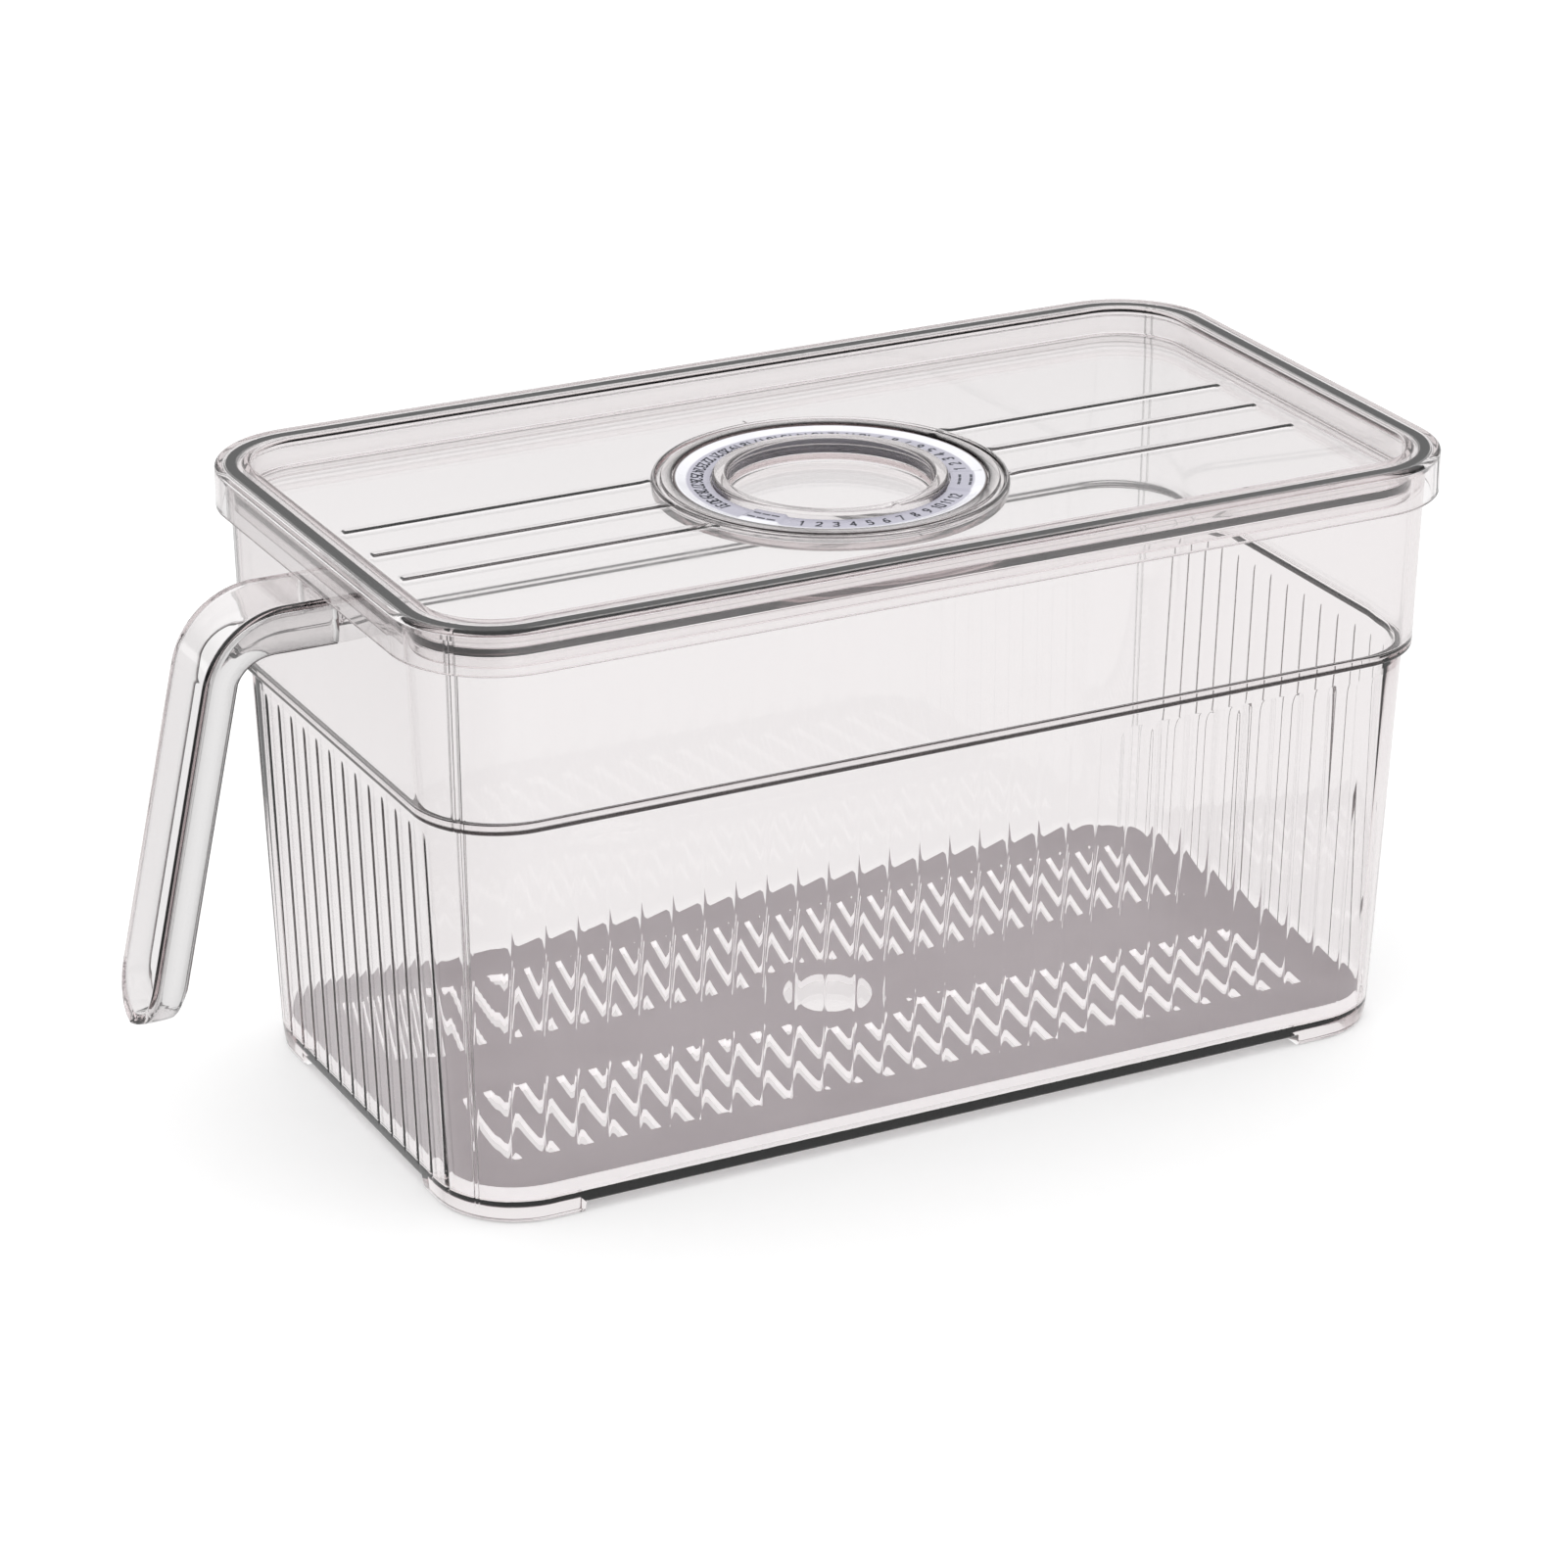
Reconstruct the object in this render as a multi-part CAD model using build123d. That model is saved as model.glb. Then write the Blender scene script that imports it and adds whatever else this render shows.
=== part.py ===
from build123d import *
import math
import os

# Fridge storage container: a clear fluted bin with a clip-on end handle, a slotted drain tray on its
# floor, and a lift-off lid whose sunken panel holds a date dial with two turning pointer rings.
# Millimetres, +Z up. X runs along the bin with the handle at the -X end, Y across it.

# Overall sizes
LID_LENGTH = 300.0
LID_WIDTH = 166.0
LID_CORNER = 28.0
TOTAL_HEIGHT = 166.8

# Lid
SKIRT_HEIGHT = 12.0
LID_WALL = 2.0
RIM_WIDTH = 9.5
PANEL_DEPTH = 7.4
RIM_ROUND = 1.2
RIB_SPACING = 19.0
RIB_REACH = 131.5
RIB_WIDTH = 2.0
RIB_HEIGHT = 0.8

# Bin
BAND_TOP_INSET = 3.8
BAND_FOOT_INSET = 5.0
BAND_CORNER = 24.0
SHOULDER_HEIGHT = 110.8
WALL_TOP_INSET = 6.9
WALL_FOOT_INSET = 10.6
WALL_CORNER = 23.0
BIN_WALL = 2.4
FLOOR_THICKNESS = 2.4
BASE_ROUND = 1.0
RIM_BEAD_INSET = 2.5
RIM_BEAD_HEIGHT = 1.8
RIM_BEAD_CORNER = 25.0

# Feet under the four corners
FOOT_HEIGHT = 3.0
FOOT_WIDTH = 5.5
FOOT_LENGTH = 32.0

# Flutes of the lower walls: flat reeds between narrow grooves, their faces a little inside the
# smooth faces above and below
GROOVE_DEPTH = 0.45
GROOVE_WIDTH = 2.2
FLUTE_RECESS = 0.1
FLUTE_FOOT = 5.8
FLUTE_HEAD = 106.8
LONG_SIDE_SPAN = 255.2
LONG_SIDE_FLUTES = 29
END_SPAN = 112.0
END_FLUTES = 13

# Handle: a channel open towards the bin, hung from two hooked tabs through the band
HANDLE_WIDTH = 25.6
HANDLE_REACH = 28.45
HANDLE_DEPTH = 9.2
HANDLE_ROOT_DEPTH = 12.4
HANDLE_WALL = 2.2
HANDLE_SLANT = 12.0
HANDLE_BEND = 23.5
HANDLE_INNER_BEND = 12.0
HANDLE_TIP_HEIGHT = 43.8
HANDLE_TOP_GAP = 0.4
TAB_HEIGHT = 5.0
TAB_HOOK = 1.4
TAB_GAP = 0.2

# Drain tray
TRAY_GAP = 1.4
TRAY_CORNER = 19.0
TRAY_THICKNESS = 2.0
TRAY_RAISE = 2.0
TRAY_SKIRT_WIDTH = 2.0
TRAY_SKIRT_GAP = 1.2
TRAY_LEG_LENGTH = 38.0
TRAY_LEG_SLANT = 5.0
SLOT_COUNT = 25
SLOT_WIDTH = 3.4
SLOT_END_MARGIN = 18.0
SLOT_SIDE_MARGIN = 15.8
MIDDLE_STRIP_WIDTH = 27.0
FINGER_HOLE_RADIUS = 12.0
FINGER_HOLE_CLEARING = 22.0

# Date dial in the middle of the lid
WELL_RADIUS = 46.4
WELL_WALL = 1.6
LEDGE_DEPTH = 3.0
RECESS_DEPTH = 2.2
WELL_FLOOR = 2.0
LIP_HEIGHT = 0.8
RING_GAP = 0.3
POINTER_RING_WIDTH = 4.2
POINTER_RING_REBATE = 1.2
REBATE_DEPTH = 0.8
DISC_WIDTH = 9.9
DISC_THICKNESS = 1.5
DISC_SINK = 0.6
STRIP_WIDTH = 6.6
STRIP_DEPTH = 0.7
STRIP_SLOPE = 2.2
ISLANDS = [(-31.5, 23.0), (-146.5, 17.0)]
GRIP_RING_WIDTH = 4.0
GRIP_RING_RISE = 0.6
GRIP_CHAMFER = 0.6
FLANGE_WIDTH = 2.2
FLANGE_THICKNESS = 1.5
INDEX_HEIGHT = 0.5
INDEX_REACH = 1.4
INDEX_SPREAD = 3.0
POINTER_INDEX_ANGLE = 21.2
GRIP_INDEX_ANGLE = -84.0

# Heights that the pieces share
CUT_MARGIN = 5.0
SKIRT_BOTTOM = TOTAL_HEIGHT - SKIRT_HEIGHT
BIN_TOP = TOTAL_HEIGHT - LID_WALL
PANEL_TOP = TOTAL_HEIGHT - PANEL_DEPTH
PANEL_UNDERSIDE = PANEL_TOP - LID_WALL
FLOOR_TOP = FOOT_HEIGHT + FLOOR_THICKNESS
LEDGE_TOP = PANEL_TOP - LEDGE_DEPTH
RECESS_FLOOR = LEDGE_TOP - RECESS_DEPTH
LIP_TOP = PANEL_TOP + LIP_HEIGHT
DISC_TOP = LIP_TOP - DISC_SINK
TRAY_UNDERSIDE = FLOOR_TOP + TRAY_RAISE

# Radii of the dial, from the well inwards
POINTER_RING_OUTER = WELL_RADIUS - RING_GAP
POINTER_RING_INNER = POINTER_RING_OUTER - POINTER_RING_WIDTH
DISC_OUTER = POINTER_RING_INNER - RING_GAP
DISC_INNER = DISC_OUTER - DISC_WIDTH
GRIP_RING_OUTER = DISC_INNER - RING_GAP
GRIP_RING_INNER = GRIP_RING_OUTER - GRIP_RING_WIDTH
RECESS_RADIUS = GRIP_RING_INNER - RING_GAP


def outline(inset, corner):
    """Rounded rectangle that lies inset from the lid's outer edge."""
    return RectangleRounded(LID_LENGTH - 2 * inset, LID_WIDTH - 2 * inset, corner)


def tapered(low_z, low_inset, high_z, high_inset, corner):
    """Solid between two rounded rectangles, for walls with draft."""
    low = Pos(0, 0, low_z) * outline(low_inset, corner)
    high = Pos(0, 0, high_z) * outline(high_inset, corner)
    return loft([low, high], ruled=True)


def slab(low_z, high_z, inset, corner):
    """Upright solid with the outline of one rounded rectangle."""
    return Pos(0, 0, low_z) * extrude(outline(inset, corner), high_z - low_z)


def tube(outer, inner, low_z, high_z):
    """Upright round tube."""
    height = high_z - low_z
    ring = Circle(outer) - Circle(inner)
    return Pos(0, 0, low_z) * extrude(ring, height)


def disc(radius, low_z, high_z):
    """Upright round plate."""
    return Pos(0, 0, low_z) * extrude(Circle(radius), high_z - low_z)


def ring_sector(outer, inner, middle, spread, low_z, high_z):
    """Part of a tube, spread degrees wide about the angle middle."""
    reach = 2 * outer
    half = math.radians(spread / 2)
    wedge = Polygon(
        (0, 0),
        (reach, -reach * math.tan(half)),
        (reach, reach * math.tan(half)),
        align=None,
    )
    sector = (Circle(outer) - Circle(inner)) & wedge
    return Rot(0, 0, middle) * (Pos(0, 0, low_z) * extrude(sector, high_z - low_z))


def wall_inset(z):
    """Inset of the lower wall's outer face at height z."""
    share = (z - FOOT_HEIGHT) / (SHOULDER_HEIGHT - FOOT_HEIGHT)
    return WALL_FOOT_INSET + share * (WALL_TOP_INSET - WALL_FOOT_INSET)


def band_inset(z):
    """Inset of the upper band's outer face at height z."""
    share = (z - SHOULDER_HEIGHT) / (BIN_TOP - SHOULDER_HEIGHT)
    return BAND_FOOT_INSET + share * (BAND_TOP_INSET - BAND_FOOT_INSET)


def side_point(distance, depth, half_along, half_across):
    """Point at a distance from the middle of a side along its rounded outline, sunk in by a depth.

    Returns how far it lies along the side and how far out from the centre."""
    straight = half_along - WALL_CORNER
    turn = max(0.0, abs(distance) - straight) / WALL_CORNER
    radius = WALL_CORNER - depth
    along = min(abs(distance), straight) + radius * math.sin(turn)
    out = half_across - WALL_CORNER + radius * math.cos(turn)
    return math.copysign(along, distance), out


def side_points(span, count, half_along, half_across, bearing):
    """The flutes of one side as points: both edges and the bottom of every groove."""
    points = []
    for index in range(count + 1):
        groove = -span / 2 + span * index / count
        for shift, depth in ((-0.5, 0.0), (0.0, GROOVE_DEPTH), (0.5, 0.0)):
            along, out = side_point(groove + shift * GROOVE_WIDTH, depth, half_along, half_across)
            points.append(Vector(along, -out).rotate(Axis.Z, bearing))
    return points


def fluted_outline(inset):
    """Outline of the lower wall with its flutes; the corners stay smooth."""
    half_x = LID_LENGTH / 2 - inset
    half_y = LID_WIDTH / 2 - inset
    sides = [
        side_points(LONG_SIDE_SPAN, LONG_SIDE_FLUTES, half_x, half_y, 0),
        side_points(END_SPAN, END_FLUTES, half_y, half_x, 90),
        side_points(LONG_SIDE_SPAN, LONG_SIDE_FLUTES, half_x, half_y, 180),
        side_points(END_SPAN, END_FLUTES, half_y, half_x, 270),
    ]
    signs = [(1, -1), (1, 1), (-1, 1), (-1, -1)]
    edges = []
    for index, points in enumerate(sides):
        edges.append(Polyline(*points))
        last, following = points[-1], sides[(index + 1) % 4][0]
        centre = Vector(signs[index][0] * (half_x - WALL_CORNER), signs[index][1] * (half_y - WALL_CORNER))
        outwards = ((last + following) * 0.5 - centre).normalized()
        edges.append(ThreePointArc(last, centre + outwards * WALL_CORNER, following))
    return make_face(Curve() + edges)


def feet():
    """Four low pads that follow the corners of the base and carry on the wall downwards."""
    step_z = FOOT_HEIGHT + BASE_ROUND
    base = tapered(0, WALL_FOOT_INSET + BASE_ROUND, step_z, wall_inset(step_z), WALL_CORNER)
    inner = WALL_FOOT_INSET + FOOT_WIDTH
    base -= slab(-CUT_MARGIN, step_z + CUT_MARGIN, inner, WALL_CORNER - FOOT_WIDTH)
    clear_x = LID_LENGTH - 2 * (WALL_FOOT_INSET + FOOT_LENGTH)
    clear_y = LID_WIDTH - 2 * (WALL_FOOT_INSET + FOOT_LENGTH)
    height = 2 * (FOOT_HEIGHT + CUT_MARGIN)
    base -= Box(clear_x, LID_WIDTH, height)
    base -= Box(LID_LENGTH, clear_y, height)
    return base


def bin_outer():
    """The bin's outside as one solid body."""
    step_z = FOOT_HEIGHT + BASE_ROUND
    body = tapered(FOOT_HEIGHT, WALL_FOOT_INSET + BASE_ROUND, step_z, wall_inset(step_z), WALL_CORNER)
    body += tapered(step_z, wall_inset(step_z), FLUTE_FOOT, wall_inset(FLUTE_FOOT), WALL_CORNER)
    low = Pos(0, 0, FLUTE_FOOT) * fluted_outline(wall_inset(FLUTE_FOOT) + FLUTE_RECESS)
    high = Pos(0, 0, FLUTE_HEAD) * fluted_outline(wall_inset(FLUTE_HEAD) + FLUTE_RECESS)
    body += loft([low, high], ruled=True)
    body += tapered(FLUTE_HEAD, wall_inset(FLUTE_HEAD), SHOULDER_HEIGHT, WALL_TOP_INSET, WALL_CORNER)
    body += tapered(SHOULDER_HEIGHT, BAND_FOOT_INSET, BIN_TOP, BAND_TOP_INSET, BAND_CORNER)
    return body


def bin_inner():
    """The space inside the bin, open at the top."""
    ledge_z = SHOULDER_HEIGHT + BIN_WALL
    corner = WALL_CORNER - BIN_WALL
    foot = wall_inset(FLOOR_TOP) + BIN_WALL
    space = tapered(FLOOR_TOP, foot, ledge_z, WALL_TOP_INSET + BIN_WALL, corner)
    low = band_inset(ledge_z) + BIN_WALL
    high_z = BIN_TOP + CUT_MARGIN
    space += tapered(ledge_z, low, high_z, band_inset(high_z) + BIN_WALL, BAND_CORNER - BIN_WALL)
    return space


def handle_edges():
    """Side view of the handle: its outer edge and its open inner edge, from the bin to the tip."""
    top = SKIRT_BOTTOM - HANDLE_TOP_GAP
    under = top - HANDLE_ROOT_DEPTH
    lean = math.tan(math.radians(HANDLE_SLANT))
    corner_x = -LID_LENGTH / 2 - HANDLE_REACH
    depth_x = HANDLE_DEPTH / math.cos(math.radians(HANDLE_SLANT))
    root_x = -LID_LENGTH / 2 + BAND_FOOT_INSET + CUT_MARGIN
    tip_x = corner_x - (top - HANDLE_TIP_HEIGHT) * lean
    under_x = corner_x + depth_x - (top - under) * lean
    outer = [(root_x, top), (corner_x, top), (tip_x, HANDLE_TIP_HEIGHT)]
    inner = [(root_x, under), (under_x, under), (tip_x + depth_x, HANDLE_TIP_HEIGHT)]
    return outer, inner


def edge_path(points, bend):
    """Two straight runs joined by one bend, in the XZ plane."""
    return FilletPolyline(*[(x, 0, z) for x, z in points], radius=bend)


def handle_slab(outer, inner, outer_bend, inner_bend, width, centre_drop):
    """Side profile of the handle given a width, with a round lower end seen from outside."""
    edges = [edge_path(outer, outer_bend), edge_path(inner, inner_bend)]
    edges.append(Line(edges[0] @ 0, edges[1] @ 0))
    edges.append(Line(edges[0] @ 1, edges[1] @ 1))
    side = make_face(Curve() + edges)
    body = extrude(side, width / 2, both=True)
    radius = width / 2
    height = TOTAL_HEIGHT - centre_drop
    front = Rectangle(width, height, align=(Align.CENTER, Align.MIN)) + Circle(radius)
    reach = LID_LENGTH
    mask = Pos(-reach, 0, centre_drop) * (Rot(0, 90, 0) * Rot(0, 0, 90) * extrude(front, reach))
    return body & mask


def handle_tab(side):
    """Tab through the band wall with a hook that drops behind it."""
    inside = band_inset(SKIRT_BOTTOM) + BIN_WALL
    top = SKIRT_BOTTOM - HANDLE_TOP_GAP - HANDLE_WALL
    start = -LID_LENGTH / 2
    hook_x = -LID_LENGTH / 2 + inside + TAB_HOOK
    profile = Polygon(
        (start, top),
        (hook_x, top),
        (hook_x, top - TAB_HEIGHT + TAB_HOOK),
        (hook_x - TAB_HOOK + TAB_GAP, top - TAB_HEIGHT),
        (start, top - TAB_HEIGHT),
        align=None,
    )
    middle = side * (HANDLE_WIDTH - HANDLE_WALL) / 2
    return Pos(0, middle, 0) * (Rot(90, 0, 0) * extrude(profile, HANDLE_WALL / 2, both=True))


def tab_slots():
    """Openings in the band for the handle's tabs."""
    top = SKIRT_BOTTOM - HANDLE_TOP_GAP - HANDLE_WALL
    height = TAB_HEIGHT + 2 * TAB_GAP
    width = HANDLE_WALL + 2 * TAB_GAP
    depth = 2 * (BAND_FOOT_INSET + BIN_WALL + TAB_HOOK)
    middle_z = top - TAB_HEIGHT / 2
    offset = (HANDLE_WIDTH - HANDLE_WALL) / 2
    slot = Box(depth, width, height)
    return [Pos(-LID_LENGTH / 2, side * offset, middle_z) * slot for side in (-1, 1)]


def make_bin():
    """Fluted bin with its band, rim bead, feet and the two slots for the handle."""
    body = bin_outer() + feet()
    bead_low = BIN_TOP - RIM_BEAD_HEIGHT
    body += slab(bead_low, BIN_TOP, RIM_BEAD_INSET, RIM_BEAD_CORNER)
    body -= bin_inner()
    for slot in tab_slots():
        body -= slot
    return body


def make_handle():
    """Channel handle with its two tabs, seated on the band's outer face."""
    outer, inner = handle_edges()
    body = handle_slab(
        outer, inner, HANDLE_BEND, HANDLE_INNER_BEND, HANDLE_WIDTH, HANDLE_TIP_HEIGHT + HANDLE_WIDTH / 2
    )
    wall_x = HANDLE_WALL / math.cos(math.radians(HANDLE_SLANT))
    lean = math.tan(math.radians(HANDLE_SLANT))
    shift_x = wall_x - HANDLE_WALL * lean
    core_outer = [
        (x + shift_x * (index > 0), z - HANDLE_WALL * (index < 2))
        for index, (x, z) in enumerate(outer)
    ]
    core_inner = [
        (x + CUT_MARGIN * (index > 0), z - CUT_MARGIN * (index < 2))
        for index, (x, z) in enumerate(inner)
    ]
    core_outer[2] = (outer[2][0] + wall_x, outer[2][1])
    core = handle_slab(
        core_outer,
        core_inner,
        HANDLE_BEND - HANDLE_WALL,
        HANDLE_INNER_BEND,
        HANDLE_WIDTH - 2 * HANDLE_WALL,
        HANDLE_TIP_HEIGHT + HANDLE_WIDTH / 2,
    )
    body -= core
    body -= tapered(SHOULDER_HEIGHT, BAND_FOOT_INSET, BIN_TOP, BAND_TOP_INSET, BAND_CORNER)
    for side in (-1, 1):
        body += handle_tab(side)
    return body


def tray_slots(half_length, half_width):
    """Two rows of slots straight across the tray; those by the finger hole are shorter."""
    outer_end = half_width - SLOT_SIDE_MARGIN
    reach = half_length - SLOT_END_MARGIN
    slots = Sketch()
    for index in range(SLOT_COUNT):
        x = -reach + 2 * reach * index / (SLOT_COUNT - 1)
        by_hole = math.sqrt(max(0.0, FINGER_HOLE_CLEARING**2 - x**2))
        inner_end = max(MIDDLE_STRIP_WIDTH / 2, by_hole)
        slot = Rectangle(SLOT_WIDTH, outer_end - inner_end)
        middle = (outer_end + inner_end) / 2
        slots += Pos(x, -middle) * slot
        slots += Pos(x, middle) * slot
    return slots


def tray_skirt(inset):
    """Thin wall below the tray's edge: clear of the floor except for a leg at each corner."""
    skirt = slab(FLOOR_TOP, TRAY_UNDERSIDE, inset, TRAY_CORNER)
    inner_corner = TRAY_CORNER - TRAY_SKIRT_WIDTH
    skirt -= slab(FLOOR_TOP - CUT_MARGIN, TRAY_UNDERSIDE + CUT_MARGIN, inset + TRAY_SKIRT_WIDTH, inner_corner)
    gap_z = FLOOR_TOP + TRAY_SKIRT_GAP
    for along, across, turn in ((LID_LENGTH, LID_WIDTH, 0), (LID_WIDTH, LID_LENGTH, 90)):
        low_half = along / 2 - inset - TRAY_LEG_LENGTH
        high_half = low_half - TRAY_LEG_SLANT
        low = Pos(0, 0, FLOOR_TOP) * Rectangle(2 * low_half, across)
        high = Pos(0, 0, gap_z) * Rectangle(2 * high_half, across)
        skirt -= Rot(0, 0, turn) * loft([low, high], ruled=True)
    return skirt


def make_drain_tray():
    """Slotted plate with a round finger hole, on a skirt that stands on the floor at its corners."""
    inset = wall_inset(TRAY_UNDERSIDE) + BIN_WALL + TRAY_GAP
    plate = outline(inset, TRAY_CORNER) - Circle(FINGER_HOLE_RADIUS)
    plate -= tray_slots(LID_LENGTH / 2 - inset, LID_WIDTH / 2 - inset)
    return Pos(0, 0, TRAY_UNDERSIDE) * extrude(plate, TRAY_THICKNESS) + tray_skirt(inset)


def lid_ribs():
    """Three low ribs on each side of the dial, ending at its lip."""
    lip_outer = WELL_RADIUS + WELL_WALL
    ribs = []
    for row in (-1, 0, 1):
        y = row * RIB_SPACING
        start = math.sqrt(lip_outer**2 - (abs(y) + RIB_WIDTH) ** 2) - WELL_WALL / 2
        length = RIB_REACH - start
        rib = Box(length, RIB_WIDTH, 2 * RIB_HEIGHT)
        for side in (-1, 1):
            ribs.append(Pos(side * (start + length / 2), y, PANEL_TOP) * rib)
    return ribs


def make_lid():
    """Lid with a hollow raised rim, sunken ribbed panel and a stepped well for the dial."""
    body = slab(SKIRT_BOTTOM, TOTAL_HEIGHT, 0, LID_CORNER)
    body = fillet(body.faces().sort_by(Axis.Z)[-1].edges(), RIM_ROUND)
    inner_corner = LID_CORNER - RIM_WIDTH
    body -= slab(PANEL_TOP, TOTAL_HEIGHT + CUT_MARGIN, RIM_WIDTH, inner_corner)
    body -= slab(SKIRT_BOTTOM - CUT_MARGIN, PANEL_UNDERSIDE, RIM_WIDTH, inner_corner)
    channel = slab(SKIRT_BOTTOM - CUT_MARGIN, BIN_TOP, LID_WALL, LID_CORNER - LID_WALL)
    plug_inset = RIM_WIDTH - LID_WALL
    channel -= slab(SKIRT_BOTTOM - 2 * CUT_MARGIN, TOTAL_HEIGHT, plug_inset, LID_CORNER - plug_inset)
    body -= channel
    for rib in lid_ribs():
        body += rib
    well_outer = WELL_RADIUS + WELL_WALL
    body += disc(well_outer, LEDGE_TOP - WELL_FLOOR, LIP_TOP)
    body += disc(RECESS_RADIUS + WELL_WALL, RECESS_FLOOR - WELL_FLOOR, LEDGE_TOP)
    body -= disc(WELL_RADIUS, LEDGE_TOP, TOTAL_HEIGHT)
    body -= disc(RECESS_RADIUS, RECESS_FLOOR, TOTAL_HEIGHT)
    return body


def make_pointer_ring():
    """Outer ring of the dial, with a flange under the number disc and a raised index mark."""
    ring = tube(POINTER_RING_OUTER, POINTER_RING_INNER, LEDGE_TOP, LIP_TOP)
    rebate_inner = POINTER_RING_OUTER - POINTER_RING_REBATE
    ring -= tube(POINTER_RING_OUTER + CUT_MARGIN, rebate_inner, LIP_TOP - REBATE_DEPTH, TOTAL_HEIGHT)
    flange_inner = POINTER_RING_INNER - FLANGE_WIDTH
    ring += tube(POINTER_RING_OUTER, flange_inner, LEDGE_TOP, LEDGE_TOP + FLANGE_THICKNESS)
    reach = POINTER_RING_INNER + INDEX_REACH
    high = LIP_TOP + INDEX_HEIGHT
    ring += ring_sector(reach, POINTER_RING_INNER, POINTER_INDEX_ANGLE, INDEX_SPREAD, LEDGE_TOP, high)
    return ring


def make_number_disc():
    """Fixed annular plate: sunken strips for the numbers, two raised label islands between them."""
    plate = tube(DISC_OUTER, DISC_INNER, DISC_TOP - DISC_THICKNESS, DISC_TOP)
    strip_outer = DISC_INNER + STRIP_WIDTH
    strip_floor = DISC_TOP - STRIP_DEPTH
    strip = Cone(strip_outer, strip_outer + STRIP_SLOPE, STRIP_DEPTH)
    strip = Pos(0, 0, DISC_TOP - STRIP_DEPTH / 2) * strip
    for angle, spread in ISLANDS:
        island = ring_sector(WELL_RADIUS, RECESS_RADIUS, angle, spread, strip_floor, TOTAL_HEIGHT)
        strip -= island
    plate -= strip
    foot_outer = POINTER_RING_INNER - FLANGE_WIDTH - RING_GAP
    foot_inner = GRIP_RING_OUTER + FLANGE_WIDTH + RING_GAP
    return plate + tube(foot_outer, foot_inner, LEDGE_TOP, strip_floor - STRIP_DEPTH / 2)


def make_grip_ring():
    """Inner ring that a fingertip turns, with its own raised index mark."""
    top = LIP_TOP + GRIP_RING_RISE
    ring = tube(GRIP_RING_OUTER, GRIP_RING_INNER, LEDGE_TOP, top)
    ring = chamfer(ring.edges().group_by(Axis.Z)[-1], GRIP_CHAMFER)
    flange_outer = GRIP_RING_OUTER + FLANGE_WIDTH
    ring += tube(flange_outer, GRIP_RING_INNER, LEDGE_TOP, LEDGE_TOP + FLANGE_THICKNESS)
    reach = GRIP_RING_OUTER - INDEX_REACH
    high = top + INDEX_HEIGHT
    ring += ring_sector(GRIP_RING_OUTER, reach, GRIP_INDEX_ANGLE, INDEX_SPREAD, LEDGE_TOP, high)
    return ring


def handle_tip_x():
    """The point of the handle that reaches furthest from the bin."""
    return handle_edges()[0][2][0]


def main():
    os.makedirs("parts", exist_ok=True)
    centre_x = (handle_tip_x() + LID_LENGTH / 2) / 2
    pieces = {
        "bin": make_bin(),
        "handle": make_handle(),
        "drain_tray": make_drain_tray(),
        "lid": make_lid(),
        "pointer_ring": make_pointer_ring(),
        "number_disc": make_number_disc(),
        "grip_ring": make_grip_ring(),
    }
    for name, piece in pieces.items():
        export_step(Pos(-centre_x, 0, 0) * piece, f"parts/{name}.step")


main()
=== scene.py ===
import math

import bpy
import numpy as np
from mathutils import Matrix, Vector


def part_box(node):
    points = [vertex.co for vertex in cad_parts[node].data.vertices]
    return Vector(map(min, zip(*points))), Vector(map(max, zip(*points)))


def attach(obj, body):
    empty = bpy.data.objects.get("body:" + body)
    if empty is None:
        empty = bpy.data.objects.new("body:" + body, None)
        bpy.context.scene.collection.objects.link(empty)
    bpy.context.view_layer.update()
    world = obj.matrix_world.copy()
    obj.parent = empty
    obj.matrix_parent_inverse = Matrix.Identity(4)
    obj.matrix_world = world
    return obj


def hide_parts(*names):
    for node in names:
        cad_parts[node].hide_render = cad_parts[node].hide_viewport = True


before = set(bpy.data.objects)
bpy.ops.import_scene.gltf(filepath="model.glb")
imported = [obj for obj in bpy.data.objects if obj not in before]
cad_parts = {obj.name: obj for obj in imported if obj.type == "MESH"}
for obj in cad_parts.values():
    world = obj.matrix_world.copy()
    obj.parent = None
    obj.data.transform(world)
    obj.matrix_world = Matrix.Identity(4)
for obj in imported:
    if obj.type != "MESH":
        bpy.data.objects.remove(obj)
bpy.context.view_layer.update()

MM = 0.001
lid_low, lid_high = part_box("lid")
CENTRE_X = (lid_low.x + lid_high.x) / 2 / MM

# Sizes in millimetres about the middle of the lid, as the solids have them
LID_HALF_X, LID_HALF_Y, LID_CORNER = 150.0, 83.0, 28.0
LID_TOP = 166.8
LID_WALL = 2.0
RIM_WIDTH = 9.5
SKIRT_BOTTOM = 154.8
BIN_TOP = 164.8
PANEL_TOP, PANEL_UNDER = 159.4, 157.4
LEDGE_TOP = 156.4
RECESS_FLOOR = 154.2
LIP_TOP = 160.2
WELL_RADIUS, RECESS_RADIUS = 46.4, 27.1
WELL_WALL = 1.6
RIB_MIDDLES = np.array([-19.0, 0.0, 19.0])
SHOULDER = 110.8
LEDGE, LEDGE_INSET = 113.2, 9.3
FLUTE_HEAD, FLUTE_FOOT = 106.8, 5.8
BASE, FLOOR = 3.0, 5.4
WALL = 2.4

# The well's lip is drawn thinner and the panel's ribs wider than in the solids
LIP_WALL = 0.8
RIB_HALF, RIB_HEIGHT = 1.5, 0.45


# Mesh making

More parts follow.
